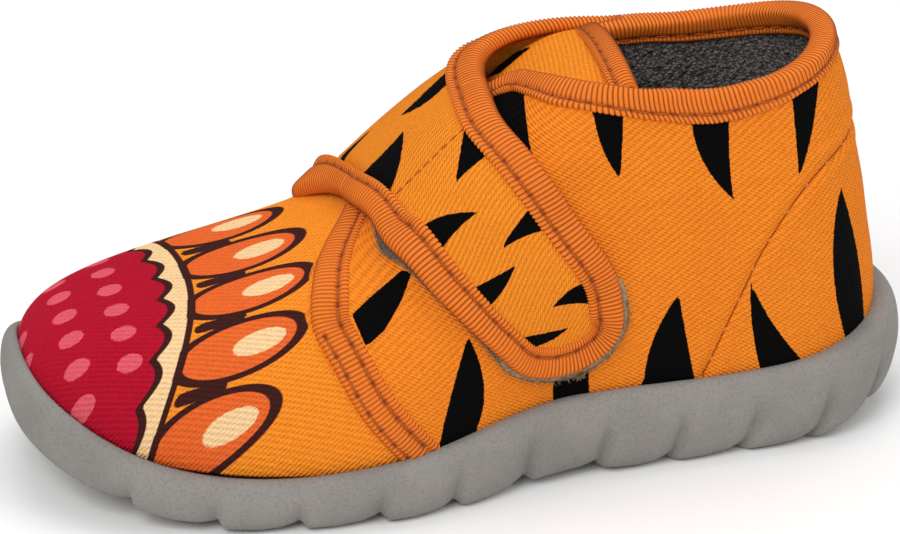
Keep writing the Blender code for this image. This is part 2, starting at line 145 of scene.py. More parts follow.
# Turn and level of the collar's fold, from under the flap round the heel to under the flap's root
COLLAR_FOLD = np.array([
    (18, 6.3), (11, 6.72), (4, 6.97), (-5, 7.08), (-15, 7.13), (-27, 7.16), (-44, 7.17), (-64, 7.11),
    (-85, 7.05), (-102, 7.11), (-120, 7.22), (-140, 7.31), (-160, 7.33), (-180, 7.30), (-205, 7.21),
    (-235, 7.14), (-265, 7.20), (-286, 7.26), (-300, 7.14), (-310, 7.02),
])
# The collar tape's width as a share of its full width: narrower round the heel and under the flap
COLLAR_NARROW_TURN = (-310, -288, -200, -150, -120, -85, -20, 5)
COLLAR_NARROW = (0.3, 0.85, 0.88, 0.62, 0.70, 1.0, 1.0, 0.75)
COLLAR_PROUD, COLLAR_ROOM = 0.5, 0.8  # the tape's stand over the wall, and its room for the lining
# Turn and level of the upper's edge where the flap covers it
THROAT = np.array([(74, 7.12), (68, 7.0), (54, 6.6), (42, 6.1), (36, 5.4), (21, 5.45)])
EDGE_UNDER_FOLD = 0.1  # how far the upper's edge lies under the collar's fold, in levels
UPPER_BOTTOM, LINING_BOTTOM = 0.35, 0.05
WALL_LIP = 1.2  # how far the cloth's bottom and top edges turn in

# Relief of the upper: the step at the quarters' front edge, the heel seam with a ridge on each side, and the
# hollow under the collar tape with the turns at which it starts and fades
QUARTER_STEP, STEP_WIDTH = 0.55, 4
SEAM_DEPTH, SEAM_WIDTH = 0.5, 0.8
RIDGE_HEIGHT, RIDGE_AWAY, RIDGE_WIDTH = 0.25, 2.2, 1.2
HOLLOW_DEPTH, HOLLOW_LEVEL, HOLLOW_REACH = 0.35, 6.3, 0.25
HOLLOW_START, HOLLOW_FADES, HOLLOW_FADE = 30, 115, 40
DEGREE = 1.25  # millimetres in a degree of turn at the quarters' front edge
FAR_BEHIND = 8.0  # degrees, for the places above the vamp

# Tongue from under the vamp to its top edge: x and z of its middle line, half width, drop of its outer side
# and of its inner side
TONGUE = np.array([
    (-29.0, 37.0, 13.0, 3.4, 3.4),
    (-13.0, 46.2, 14.0, 4.2, 3.4),
    (0.0, 55.2, 13.5, 4.0, 1.0),
    (10.0, 62.2, 13.4, 3.2, -0.4),
    (19.5, 67.2, 12.9, 2.2, -0.2),
    (28.5, 69.4, 13.2, 1.6, 1.6),
])
# Its thickness, crown, rounding of the back, and exponent of its edges
TONGUE_THICK, TONGUE_CROWN, TONGUE_BACK, TONGUE_EDGE = 3.0, 0.9, 0.5, 6
TONGUE_SKEW = (-0.5, 2.6, 1.4, 2.2)  # the top half's shift: x at the outer and the inner side, then z
TONGUE_WIDER = (1.5, 4.5)  # and how much wider it is at the outer and the inner side
SKEW_START, SKEW_LENGTH = 0.8, 2.6
TONGUE_FACE, TONGUE_TAPE_BACK = 5.0, 4.0
TONGUE_PROUD, TONGUE_TIGHT = 0.4, 0.2

# Flap from the inner side to its tip: turn and level of its front fold and of its rear fold, then the heights
# of its top face over the last at the front, at the rear, and the crown between them
FLAP = np.array([
    (52.0, 4.05, 74.0, 7.26, 0.3, 0.5, 0.0),
    (38.0, 4.50, 50.0, 7.18, 1.3, 2.1, 1.0),
    (21.0, 5.03, 24.0, 6.86, 2.3, 5.4, 2.8),
    (2.6, 5.34, 0.0, 6.72, 3.3, 5.2, 2.7),
    (-20.1, 5.33, -30.0, 6.46, 3.9, 4.0, 2.0),
    (-39.7, 4.93, -50.0, 6.12, 3.8, 3.8, 1.0),
    (-55.4, 4.44, -68.0, 5.57, 3.6, 3.6, 0.6),
    (-69.9, 3.69, -83.0, 4.84, 3.4, 3.4, 0.4),
    (-80.2, 2.96, -95.5, 3.98, 3.2, 3.2, 0.3),
    (-85.8, 2.44, -102.2, 3.24, 3.1, 3.1, 0.3),
    (-88.9, 2.13, -104.8, 2.66, 3.0, 3.0, 0.3),
])
FLAP_BODY = len(FLAP) - 1
FLAP_TIP = (-3.5, -0.74)  # the rounded end's reach, in turn and level
FLAP_CROWN = 2.2  # exponent of the crown across the flap
FLAP_THICK = 1.6
FLAP_EDGE, FLAP_END = 0.94, 0.97  # how far the cloth reaches across and into the tip, under the tape
FLAP_FACING = 0.3  # behind this place across the flap its underside is faced with twill
# Places across the flap where its edge sinks under the tape and gets thinner: amount, start, width
FLAP_SINK, FLAP_THIN = (0.45, 0.6, 0.15), (0.8, 0.45, 0.3)
# The flap tape's width along the front edge, as a share of its full width: narrower over the ridge and
# towards the tip
FRONT_NARROW_AT = (1.0, 3.0, 4.0, 5.2, 7.0, 8.5)
FRONT_NARROW = (1.0, 0.68, 0.86, 1.06, 0.93, 0.83)

# Ribbed tapes: folds on the last as turn and level
INNER_FRONT_FOLD = np.array([(61, 3.3), (66, 2.75), (70.5, 2.0), (75, 0.95), (77, 0.5)])
VAMP_FOLD = np.array([
    (6, 5.46), (-13, 5.01), (-40, 4.17), (-58, 3.04), (-66.6, 2.21), (-74.4, 0.94), (-77.6, 0.3),
])
VAMP_TOP = 5.6  # the level, under the flap, above which there is no vamp
INNER_VAMP_FOLD = np.concatenate([[(38, 4.5), (52, 4.0)], INNER_FRONT_FOLD])
TAPE_FACE, TAPE_BACK, FLAP_TAPE_BACK, VAMP_TAPE_BACK = 6.4, 5.9, 6.0, 3.0
TAPE_LOW, VAMP_TAPE_THICK, TIP_RISE = 0.4, 1.4, 0.2
RIB_PITCH, RIB_STEPS, RIB_HEIGHT, RIB_MEAN = 0.84, 6, 0.25, 0.6
EDGE_WAVE, EDGE_WIDTH = 0.45, 0.35  # the ribs' wave in the tape's free edge
PATH_SOFT, STEP_SOFT = 36, 24  # steps over which a tape's path and its way inwards are evened out
# A tape's outline on its face and its back. Columns: share of the width, distance added, rise
TAPE_TOP = np.array([
    (1, 0, 0.12), (1, -0.3, 0.55), (0.87, 0, 0.66), (0.65, 0, 0.66), (0.42, 0, 0.80), (0.20, 0, 0.82),
    (0, 0.40, 0.48), (0, 0, -0.3),
])
TAPE_UNDER = np.array([
    (0, 0, 0.3), (0, 0.40, -0.48), (0.20, 0, -0.75), (0.65, 0, -0.60), (0.87, 0, -0.60), (1, -0.3, -0.5),
    (1, 0, -0.12),
])
TAPE_GAP, SECTION_POINTS = 0.1, 40
TAPE_INSIDE = np.array([(0, 1.2, 0), (1, -0.2, 0)])
# Rows of stitches: share of the tape's width, 1 for the face or -1 for the back, share where the row starts
FACE_ROW, BACK_ROW, VAMP_SECOND_ROW = (0.71, 1, 0.0), (0.71, -1, 0.0), (0.2, 1, 0.56)
# Length, gap and radius of the stitches on the tapes, along the heel seam and across the flap
STITCH, SEAM_STITCH, CROSS_STITCH_SIZE = (2.5, 1.3, 0.2), (0.8, 5.2, 0.13), (1.9, 0.3, 0.17)
STITCH_POINTS, STITCH_SIDES, STITCH_RISE = 7, 6, 1.1
STITCH_SUNK = 0.42  # depth of the line that a row of stitches pulls in
STITCH_FACE, STITCH_BACK = 0.36, -0.32  # height of that line on the tape's face and on its back
# Width of the sunk line; then the width and length of the painted shade at each stitch hole, and its share
# between the holes
SUNK_WIDTH, HOLE_WIDTH, HOLE_LENGTH, HOLE_BETWEEN = 0.5, 0.4, 0.7, 0.12

# Hook strip's front edge: place along the flap, and across it
HOOK_FRONT = np.array([
    (3.5, -0.94), (4.2, -1.05), (5.0, -1.08), (6.0, -1.02), (7.8, -0.97), (9.0, -1.0), (10.0, -1.07),
])
HOOK_REAR, HOOK_REAR_AT, HOOK_CHANGE, HOOK_SOFT = (0.85, 1.12), 7.6, 2.0, 5
HOOK_BEYOND = (0.6, 0.2)  # how far it shows past the flap's tip, in turn and level
HOOK_TOP, HOOK_UNDER, HOOK_END = 0.85, 0.3, 0.98
HOOK_SHADE_END = 6.0  # painted shade under the flap darkens it before this place along the flap
FUZZ_COUNT, FUZZ_REAR, FUZZ_LENGTH, FUZZ_CURL, FUZZ_RADIUS = 1500, 30, (0.25, 0.8), 0.35, 0.05
FUZZ_SPREAD, FUZZ_LEAN, FUZZ_ASIDE, FUZZ_TAPER = (1, 0.3, 1), (0, -0.9, -0.2), (0.3, 0.2, 0.9), 0.6

# Heel seam as turn and level, and the flap's cross stitch as its places along and across the flap
HEEL_SEAM = np.array([
    (-180, 5.26), (-159, 5.11), (-136.3, 4.67), (-127.3, 3.53), (-125.4, 2.79), (-122.3, 1.83),
    (-119.4, 0.91),
])
CROSS_STITCH = np.array([(4.12, -0.62), (3.62, 0.66)])

# Stripes in pixels of the view: base left, middle of the left side, tip, middle of the right side, base right
QUARTER_CLAWS = np.array([
    ((466, 92), (490, 130), (533, 160), (527, 125), (524, 92)),
    ((594, 117), (603, 150), (620, 179), (622, 152), (623, 122)),
    ((692, 125), (705, 165), (734, 200), (730, 165), (729, 120)),
    ((792, 96), (796, 139), (799, 177), (812, 132), (819, 76)),
    ((644, 378), (655, 335), (679, 294), (686, 335), (694, 375)),
    ((761, 372), (752, 325), (751, 282), (772, 322), (803, 361)),
    ((846, 340), (833, 262), (841, 187), (857, 250), (864, 317)),
    ((440, 442), (452, 392), (468, 336), (484, 384), (477, 428)),
], float)
QUARTER_BLOCK = np.array([(552, 425), (554, 360), (570, 356), (588, 355), (590, 415)], float)
VAMP_BLOCK = np.array([
    (352, 315), (369, 298), (402, 270), (412, 272), (402, 300), (385, 330), (366, 347),
], float)
FLAP_CLAWS = np.array([
    ((368, 168), (386, 150), (404, 130), (400, 161), (391, 189)),
    ((462, 142), (458, 166), (455, 187), (463, 175), (485, 157)),
    ((423, 226), (446, 215), (478, 212), (456, 231), (442, 250)),
    ((529, 209), (508, 237), (504, 248), (526, 236), (552, 229)),
    ((474, 288), (497, 276), (516, 265), (504, 289), (490, 306)),
    ((587, 283), (570, 290), (552, 308), (570, 304), (588, 304)),
    ((520, 338), (545, 333), (568, 328), (554, 339), (540, 345)),
    ((445, 73), (424, 93), (400, 116), (424, 104), (445, 86)),
], float)
# A black wedge on the tongue, as corners in pixels: partly the tongue's black stripe, partly painted shadow
# of the gap under the flap's rear edge
TONGUE_STRIPE_AND_SHADOW = np.array([(476, 82), (484, 62), (532, 46), (500, 73)], float)
# The same on the flap's inner side, as turn and level
INNER_FLAP_CLAWS = np.array([
    ((28, 4.75), (26, 5.2), (24, 5.75), (31, 5.2), (35, 4.6)),
    ((44, 4.3), (42, 4.8), (38, 5.5), (46, 5.0), (50, 4.1)),
    ((38, 6.95), (38, 6.4), (40, 5.9), (43, 6.4), (47, 6.95)),
    ((13, 5.2), (13, 5.45), (14, 5.8), (17, 5.5), (19, 5.1)),
], float)
LEVEL_PIXELS = 16.0  # makes a level count about as much as the degrees it is drawn with
INNER_FROM, INNER_SCALE = 16, 2.0  # the turn at which the inner side's stripes take over, and their scale
CLAW_ROOT = 0.3  # how far a stripe's base is drawn out, as a share of its length
PLAIN = -9.0  # far outside every stripe
STRIPE_START = 1.0  # how far behind the quarters' front edge the stripes begin

# Toe print: x of the cap's border on the ridge, its bend, and how much a drop counts as going across; then
# scallops, pale band, dots, petals with their hearts, and bars between them
PRINT_X, PRINT_BEND, PRINT_DROP = -56.0, 13.0, 0.8
VAMP_LEVELS = np.linspace(0.6, 5.4, 60)  # where the vamp's ridge is read
SCALLOP, SCALLOP_WIDTH = 2.0, 9.0
BAND_WIDTH = 5.5
DOT_X, DOT_SPACING, DOT_RADIUS, DOT_CLEAR = -64.0, 8.6, 2.2, 3.4
NO_DOT = -2.0
PETAL_SPACING = 15.0
# Place behind the border, half length, half width and depth of the field
PETAL, HEART = (15.5, 11.0, 6.3, 7.5), (19.0, 4.6, 2.6, 3.0)
BAR_AT, BAR_HALF, BAR_RADIUS = 11.0, 3.2, 1.3

# Colours, linear
ORANGE = (0.96, 0.283, 0.023, 1)
# the darker orange gives painted shade between the cords, and random patches of tone
ORANGE_SHADE = (0.78, 0.176, 0.014, 1)
# Lighter copies of the quarters' orange and its shade for the vamp and the flap: painted light, for the
# stronger light on these upward-facing parts
LIT_VAMP_ORANGE = (0.98, 0.318, 0.025, 1)
LIT_VAMP_SHADE = (0.84, 0.206, 0.015, 1)
LIT_FLAP_ORANGE = (0.98, 0.325, 0.027, 1)
LIT_FLAP_SHADE = (0.86, 0.212, 0.015, 1)
TAPE_ORANGE = (0.80, 0.195, 0.013, 1)
# painted shade in the grooves between the tape's ribs
TAPE_GROOVE_SHADE = (0.25, 0.042, 0.004, 1)
# painted shade in the stitch holes and along the stitch lines
STITCH_HOLE_SHADE = (0.13, 0.016, 0.004, 1)
BLACK = (0.0022, 0.002, 0.002, 1)
CHARCOAL = (0.085, 0.076, 0.071, 1)
# the fleece's lighter curl tops, against CHARCOAL as painted shade in the hollows
CHARCOAL_LIGHT = (0.29, 0.266, 0.25, 1)
GREY = (0.275, 0.259, 0.240, 1)
GREY_DARK = (0.15, 0.141, 0.130, 1)
THREAD = (0.58, 0.125, 0.012, 1)
SEAM_THREAD = (0.82, 0.42, 0.17, 1)
SEAM_SHADE = (0.33, 0.045, 0.006, 1)
BEIGE = (0.45, 0.33, 0.20, 1)
CRIMSON = (0.45, 0.006, 0.025, 1)
PINK = (0.74, 0.10, 0.14, 1)
RUST = (0.80, 0.135, 0.026, 1)
CREAM = (0.93, 0.62, 0.32, 1)
BROWN = (0.05, 0.013, 0.011, 1)
FLOOR_DARK, FLOOR_LIGHT = (0.93, 0.93, 0.93, 1), (0.96, 0.96, 0.96, 1)

# Layers of the toe's print from the cloth up, then the layers with brown outlines and their half widths
PRINT_INKS = {
    "band": CREAM,
    "cap": CRIMSON,
    "dots": PINK,
    "petals": RUST,
    "hearts": CREAM,
    "bars": BROWN,
}
OUTLINES = {"cap": 0.7, "band": 0.6, "petals": 0.75}
PRINT_EDGE, OUTLINE_EDGE = 0.25, 0.12

# Roughness and shine of the materials
FINISH = {
    "printed_twill": (0.9, 0.05),
    "flap_twill": (0.9, 0.05),
    "charcoal_fleece": (0.95, 0.1),
    "ribbed_tape": (0.75, 0.25),
    "sole_rubber": (0.82, 0.3),
    "brown_thread": (0.6, 0.3),
    "pale_thread": (0.6, 0.3),
    "hook_tape": (0.95, 0.1),
    "pale_floor": (0.9, 0.5),
}

# Cloth: pitch of its cords and floats, and depth of its weave
TWILL_PITCH, FLOAT_PITCH, TWILL_DEPTH = 0.6, 0.9, 0.15
# How much the floats break the cords, their slant, and how much the weave and printed edges waver
FLOAT_SHARE, FLOAT_SLANT, WAVER = 0.35, 0.6, 2.2
QUARTER_ACROSS, FLAP_ACROSS = (-0.5, 0.87), (-0.7, 0.7)  # across the cords, along and up the cloth
VAMP_CORDS, VAMP_FLOATS = (-0.55, 0.5, 0.65), (0.32, 0.7, 0.79)


def natural_spline(knots, rows, at):
    """Rows joined by a natural cubic through the knots, read at the places asked for."""
    knots, rows, at = np.asarray(knots, float), np.asarray(rows, float), np.asarray(at, float)
    steps = np.diff(knots)
    slopes = np.diff(rows, axis=0) / steps[:, None]
    matrix = np.eye(len(knots))
    right = np.zeros_like(rows)
    for i in range(1, len(knots) - 1):
        matrix[i, i - 1 : i + 2] = steps[i - 1], 2 * (steps[i - 1] + steps[i]), steps[i]
        right[i] = 6 * (slopes[i] - slopes[i - 1])
    bend = np.linalg.solve(matrix, right)
    i = np.clip(np.searchsorted(knots, at, side="right") - 1, 0, len(steps) - 1)
    step = steps[i][..., None]
    after = (at - knots[i])[..., None]
    before = step - after
    cubic = (bend[i] * before**3 + bend[i + 1] * after**3) / (6 * step)
    low = (rows[i] / step - bend[i] * step / 6) * before
    high = (rows[i + 1] / step - bend[i + 1] * step / 6) * after
    return cubic + low + high


def table_at(table, at):
    """A table's columns between its rows, counted from 0."""
    return np.moveaxis(natural_spline(np.arange(len(table)), table, at), -1, 0)


def along_table(table, count):
    """A table's columns at even places from its first row to its last."""
    return table_at(table, np.linspace(0, len(table) - 1, count))


def ease(start, end, share):
    return start + (end - start) * (1 - np.cos(np.pi * np.clip(share, 0, 1))) / 2


def bell(distance, width):
    return np.exp(-((distance / width) ** 2))


def unit(vectors):
    return vectors / np.linalg.norm(vectors, axis=-1, keepdims=True)


def rounded_end(share, power):
    return (1 - (1 - np.clip(share, 0, 1)) ** power) ** (1 / power)


def foot_axis(x):
    """The y of the foot's middle line, which curves to the inner side at the toe."""
    return SWING * np.clip((SWING_END - x) / (SWING_END + SOLE_LENGTH / 2), 0, None) ** 2


def half_width(share, outer, outer_ball, inner_ball, waist, heel, heel_at):
    """Half width of a foot-shaped outline, from its toe at 0 to its heel at 1."""
    ball_at, waist_at = (np.where(outer, *pair) for pair in (BALL_AT, WAIST_AT))
    ball = np.where(outer, outer_ball, inner_ball)
    toe = ball * rounded_end(share / ball_at, TOE_ROUND)
    front = ease(ball, waist, (share - ball_at) / (waist_at - ball_at))
    rear = ease(waist, heel, (share - waist_at) / (heel_at - waist_at))
    back = heel * rounded_end((1 - share) / (1 - heel_at), HEEL_ROUND)
    return np.select([share < ball_at, share < waist_at, share < heel_at], [toe, front, rear], back)


def outline(turn, front_x, back_x, *widths):
    """x, y and share of a foot-shaped outline at a turn."""
    turn = (turn + 180) % 360 - 180
    share = (1 - np.cos(np.radians(turn))) / 2
    outer = turn < 0
    side = np.where(outer, -1, 1)
    x = front_x + (back_x - front_x) * share
    y = foot_axis(x) + side * half_width(share, outer, *widths)
    return x, y, share


def last_point(turn, level):
    """A point on the upper's outer face."""
    turn, level = np.broadcast_arrays(np.asarray(turn, float), np.asarray(level, float))
    front_x, front_z, ball_z, waist_z, back_x, back_z, *widths = table_at(LAST, level)
    x, y, share = outline(turn, front_x, back_x, *widths)
    z = np.zeros_like(share)
    for height, at in zip((front_z, ball_z, waist_z, back_z), HEIGHT_SHARES):
        others = [other for other in HEIGHT_SHARES if other != at]
        weight = np.prod([(share - other) / (at - other) for other in others], axis=0)
        z = z + height * weight
    return np.stack([x, y, z], axis=-1)


def round_last(turn, level):
    """The way round the foot, over two steps of turn."""
    return last_point(turn + TURN_STEP, level) - last_point(turn - TURN_STEP, level)


def up_last(turn, level):
    """The way up the upper's face, over two steps of level."""
    return last_point(turn, level + LEVEL_STEP) - last_point(turn, level - LEVEL_STEP)


def last_normal(turn, level):
    return unit(np.cross(unit(up_last(turn, level)), round_last(turn, level)))


def over_last(turn, level, height):
    """A point at a height above the upper's outer face, or inside it where the height is negative."""
    height = np.asarray(height, float)[..., None]
    return last_point(turn, level) + height * last_normal(turn, level)


def step_on_last(turn, level, direction):
    """Change of turn and level that moves a point 1 mm over the last in a direction."""
    by_turn = round_last(turn, level) / (2 * TURN_STEP)
    by_level = up_last(turn, level) / (2 * LEVEL_STEP)
    sides = np.stack([by_turn, by_level], axis=-1)
    return np.moveaxis(np.linalg.pinv(sides) @ direction[..., None], -1, 0)[0].T


def camera_axes():
    """Rows to the right, up and back of the camera."""
    turn, rise, roll = np.radians((AZIMUTH, ELEVATION, ROLL))
    back = np.array((np.sin(turn) * np.cos(rise), -np.cos(turn) * np.cos(rise), np.sin(rise)))
    right = np.array((np.cos(turn), np.sin(turn), 0))
    up = np.cross(back, right)
    return np.array((
        right * np.cos(roll) + up * np.sin(roll),
        up * np.cos(roll) - right * np.sin(roll),
        back,
    ))


def in_view(points):
    """Pixels of the view at which points are drawn."""
    right, up, back = np.moveaxis((points - EYE) @ camera_axes().T, -1, 0)
    scale = -FOCAL_PIXELS / back
    return np.stack([VIEW_WIDTH / 2 + right * scale, VIEW_HEIGHT / 2 - up * scale], axis=-1)


def grid_faces(rows, columns, wrap=False):
    """Quads between rows of points, each row closed on itself where wrap is set."""
    quad_columns = columns if wrap else columns - 1
    row, column = np.meshgrid(np.arange(rows - 1), np.arange(quad_columns), indexing="ij")
    beside = (column + 1) % columns
    first = row * columns
    after = first + columns
    return np.stack([first + column, first + beside, after + beside, after + column], axis=-1).reshape(-1, 4)


def add_piece(name, points, faces, materials, nodes=(), fields=None, second=None, merge=0.0):
    """A smooth mesh from points in millimetres, riding on the shoe.

    Fields are numbers kept at the points for the materials; second marks the faces of the second material.
    """
    mesh = bpy.data.meshes.new(name)
    placed = (np.reshape(points, (-1, 3)) - (0, CENTRE_Y, 0)) * MM
    mesh.from_pydata(placed.tolist(), [], [tuple(face) for face in faces])
    for key, values in (fields or {}).items():
        data = mesh.attributes.new(key, "FLOAT", "POINT").data
        data.foreach_set("value", np.ravel(values).astype(np.float32))
    for made in materials:
        mesh.materials.append(made)
    if second is not None:
        mesh.polygons.foreach_set("material_index", np.asarray(second, np.int32))
    work = bmesh.new()
    work.from_mesh(mesh)
    if merge:
        bmesh.ops.remove_doubles(work, verts=work.verts, dist=merge * MM)
    bmesh.ops.recalc_face_normals(work, faces=work.faces)
    work.to_mesh(mesh)
    work.free()
    mesh.shade_smooth()
    piece = bpy.data.objects.new(name, mesh)
    bpy.context.scene.collection.objects.link(piece)
    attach(piece, "root")
    if nodes:
        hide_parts(*nodes)
    return piece


def closed_sheet(top, bottom):
    """Points and faces of a plate between two grids of points, and which faces are the lower ones."""
    rows, columns = top.shape[:2]
    quads = grid_faces(rows, columns)
    count = rows * columns
    border = np.concatenate([
        np.arange(columns - 1),
        np.arange(rows - 1) * columns + columns - 1,
        count - 1 - np.arange(columns - 1),
        (rows - 1 - np.arange(rows - 1)) * columns,
    ])
    beside = np.roll(border, -1)
    rim = np.stack([border, border + count, beside + count, beside], axis=-1)
    faces = np.concatenate([quads, quads[:, ::-1] + count, rim])
    below = np.zeros(len(faces), int)
    below[len(quads) : 2 * len(quads)] = 1
    return np.concatenate([top.reshape(-1, 3), bottom.reshape(-1, 3)]), faces, below


def on_both(fields):
    """Fields of a plate's top face, given to its lower face too."""
    return {key: np.concatenate([values, values]) for key, values in fields.items()}


def capped_rings(rings):
    """Points and faces of a closed section carried along a path, with flat ends."""
    rows, columns = rings.shape[:2]
    faces = grid_faces(rows, columns, wrap=True).tolist()
    faces.append(tuple(range(columns)))
    faces.append(tuple(range((rows - 1) * columns, rows * columns)))
    return rings, faces


def add_tubes(name, spines, first, second, radii, sides, made, nodes=()):
    """Many short tubes along spines; first and second are the two directions across them."""
    angle = np.linspace(0, 2 * np.pi, sides + 1)[:-1, None]
    ring = np.cos(angle) * first[..., None, :] + np.sin(angle) * second[..., None, :]
    tubes = spines[:, :, None] + radii[:, None, None] * ring
    _, one = capped_rings(tubes[0])
    each = len(radii) * sides
    faces = [tuple(corner + each * i for corner in face) for i in range(len(tubes)) for face in one]
    add_piece(name, tubes, faces, [made], nodes)


def distance_to_path(points, path):
    """Least distance from each point to a line of points."""
    least = np.full(points.shape[:-1], np.inf)
    for start, end in zip(path[:-1], path[1:]):
        run = end - start
        share = np.clip((points - start) @ run / (run @ run), 0, 1)
        least = np.minimum(least, np.linalg.norm(points - start - share[..., None] * run, axis=-1))
    return least


def inside_by(points, corners):
    """How far each point lies inside a polygon, negative outside it."""
    closed = np.concatenate([corners, corners[:1]])
    odd = np.zeros(points.shape[:-1], bool)
    for (ax, ay), (bx, by) in zip(closed[:-1], closed[1:]):
        crosses = (ay > points[..., 1]) != (by > points[..., 1])
        rise = by - ay if by != ay else 1e-9
        odd ^= crosses & (points[..., 0] < ax + (points[..., 1] - ay) * (bx - ax) / rise)
    away = distance_to_path(points, closed)
    return np.where(odd, away, -away)


def claw(base_left, left, tip, right, base_right):
    """Outline of a stripe that narrows to a tip, with its base drawn out under the edge it starts from."""
    share = np.linspace(0, 1, 11)[:, None]

    def side(base, middle):
        bend = 2 * middle - (base + tip) / 2
        return base * (1 - share) ** 2 + 2 * bend * share * (1 - share) + tip * share**2

    roots = [(base + CLAW_ROOT * (base - tip))[None] for base in (base_left, base_right)]
    return np.concatenate([roots[0], side(base_left, left), side(base_right, right)[-2::-1], roots[1]])


def stripes(points, claws, blocks=()):
    """How far each point lies inside the nearest stripe."""
    outlines = [*(claw(*row) for row in claws), *blocks]
    return np.max([inside_by(points, corners) for corners in outlines], axis=0)


def path_lengths(points):
    """Distances along a line of points."""
    return np.concatenate([[0], np.cumsum(np.linalg.norm(np.diff(points, axis=0), axis=1))])


def even_path(columns, points, step):
    """Columns of numbers along a path read again at even steps, with the distances along it."""
    lengths = path_lengths(points)
    places = np.arange(0, lengths[-1], step)
    return [np.interp(places, lengths, column) for column in columns], places


def soften(values, reach):
    """A running mean that keeps a path's ends."""
    padded = np.pad(values, reach, mode="reflect", reflect_type="odd")
    weights = np.hanning(2 * reach + 3)[1:-1]
    return np.convolve(padded, weights / weights.sum(), mode="valid")


# Materials


def new_material(name):
    made = bpy.data.materials.new(name)
    made.use_nodes = True
    shader = made.node_tree.nodes["Principled BSDF"]
    for socket, value in zip(("Roughness", "Specular IOR Level"), FINISH[name]):
        shader.inputs[socket].default_value = value
    return made


def add_node(made, kind, inputs, output=0, **settings):
    """A node's output; each input is a number or another output."""
    node = made.node_tree.nodes.new("ShaderNode" + kind)
    for key, value in settings.items():
        setattr(node, key, value)
    for key, value in inputs.items():
        if isinstance(value, bpy.types.NodeSocket):
            made.node_tree.links.new(value, node.inputs[key])
        else:
            node.inputs[key].default_value = value
    return node.outputs[output]


def calc(made, operation, first, second=0.0, third=0.0):
    return add_node(made, "Math", {0: first, 1: second, 2: third}, operation=operation)


def place(made):
    return add_node(made, "TexCoord", {}, output="Object")


def field(made, name):
    return add_node(made, "Attribute", {}, output="Fac", attribute_name=name)


def noise(made, scale, detail=2.0):
    return add_node(made, "TexNoise", {"Vector": place(made), "Scale": scale, "Detail": detail})


def waver(made, scale, amount, value):
    """A value that wavers with a noise around it."""
    return calc(made, "MULTIPLY_ADD", calc(made, "SUBTRACT", noise(made, scale), 0.5), amount, value)


def blend(made, share, first, second):
    return add_node(made, "Mix", {0: share, 6: first, 7: second}, output=2, data_type="RGBA")


def step_up(made, value, low, high):
    """0 below low, 1 above high, and a soft step between."""
    sockets = {"Value": value, "From Min": low, "From Max": high}
    return add_node(made, "MapRange", sockets, interpolation_type="SMOOTHSTEP")


def tint(made, colour, ink, value, low, high, amount=1.0):
    """A colour with up to an amount of ink where a value passes from low to high."""
    share = calc(made, "MULTIPLY", step_up(made, value, low, high), amount)
    return blend(made, share, colour, ink)


def darker(colour, share):
    return tuple(share * part for part in colour[:3]) + (1,)


def panel_ridges(made, direction, pitch):
    """A wave from -1 to 1 across a direction along and up a panel's cloth, with a pitch in millimetres."""
    size = 2 * np.pi / (pitch * np.hypot(*direction))
    up = calc(made, "MULTIPLY", field(made, "up"), direction[1] * size)
    return calc(made, "SINE", calc(made, "MULTIPLY_ADD", field(made, "round"), direction[0] * size, up))


def ridges(made, direction, pitch):
    """A wave from -1 to 1 across a direction, with a pitch in millimetres."""
    vector = Vector(direction).normalized() * (2 * np.pi / (pitch * MM))
    sockets = {0: place(made), 1: vector}
    return calc(made, "SINE", add_node(made, "VectorMath", sockets, output="Value", operation="DOT_PRODUCT"))


def set_surface(made, colour, height, depth):
    """Links a colour, and a bump of a depth in millimetres, to the material."""
    shader = made.node_tree.nodes["Principled BSDF"]
    sockets = {"Strength": 1.0, "Distance": depth * MM, "Height": height}
    made.node_tree.links.new(colour, shader.inputs["Base Color"])
    made.node_tree.links.new(add_node(made, "Bump", sockets, output="Normal"), shader.inputs["Normal"])
    return made


def twill_weave(made, cords, floats):
    """Height of a twill weave: diagonal cords, broken into short floats."""
    broken = calc(made, "MULTIPLY_ADD", floats, FLOAT_SHARE, 1 - FLOAT_SHARE)
    return waver(made, 1700.0, WAVER, calc(made, "MULTIPLY", broken, cords))


def panel_weave(made, across):
    """The weave of a panel whose cords run at right angles to a direction along and up its cloth."""
    slant = (across[1] + FLOAT_SLANT * across[0], FLOAT_SLANT * across[1] - across[0])
    floats = panel_ridges(made, slant, FLOAT_PITCH)
    return twill_weave(made, panel_ridges(made, across, TWILL_PITCH), floats)


def fuzzy_edge(made, name, width=0.8):
    """The share of a printed colour, from its field, with an edge that wavers with the weave."""
    value = waver(made, 1500.0, WAVER * width, field(made, name))
    return step_up(made, value, -0.5 * width, 0.5 * width)


def twill_colour(made, weave, light, shade):
    """Orange cloth, a little uneven in tone, with painted shade between its cords."""
    colour = tint(made, light, shade, noise(made, 45.0, 3.0), 0.25, 0.75, 0.2)
    # painted shade in the hollows between the cords
    return tint(made, colour, shade, weave, 0.9, -0.9, 0.75)


def make_twill(name, across, light, shade):
    made = new_material(name)
    weave = panel_weave(made, across)
    colour = blend(made, fuzzy_edge(made, "dark"), twill_colour(made, weave, light, shade), BLACK)
    return set_surface(made, colour, weave, TWILL_DEPTH)


def print_colour(made, cloth):
    """The vamp's cloth with the toe's print on it."""
    colour = cloth
    for layer, ink in PRINT_INKS.items():
        colour = blend(made, fuzzy_edge(made, layer, PRINT_EDGE), colour, ink)
    for layer, width in OUTLINES.items():
        off = calc(made, "ABSOLUTE", field(made, layer))
        colour = tint(made, colour, BROWN, off, width + OUTLINE_EDGE, width - OUTLINE_EDGE)
    return colour


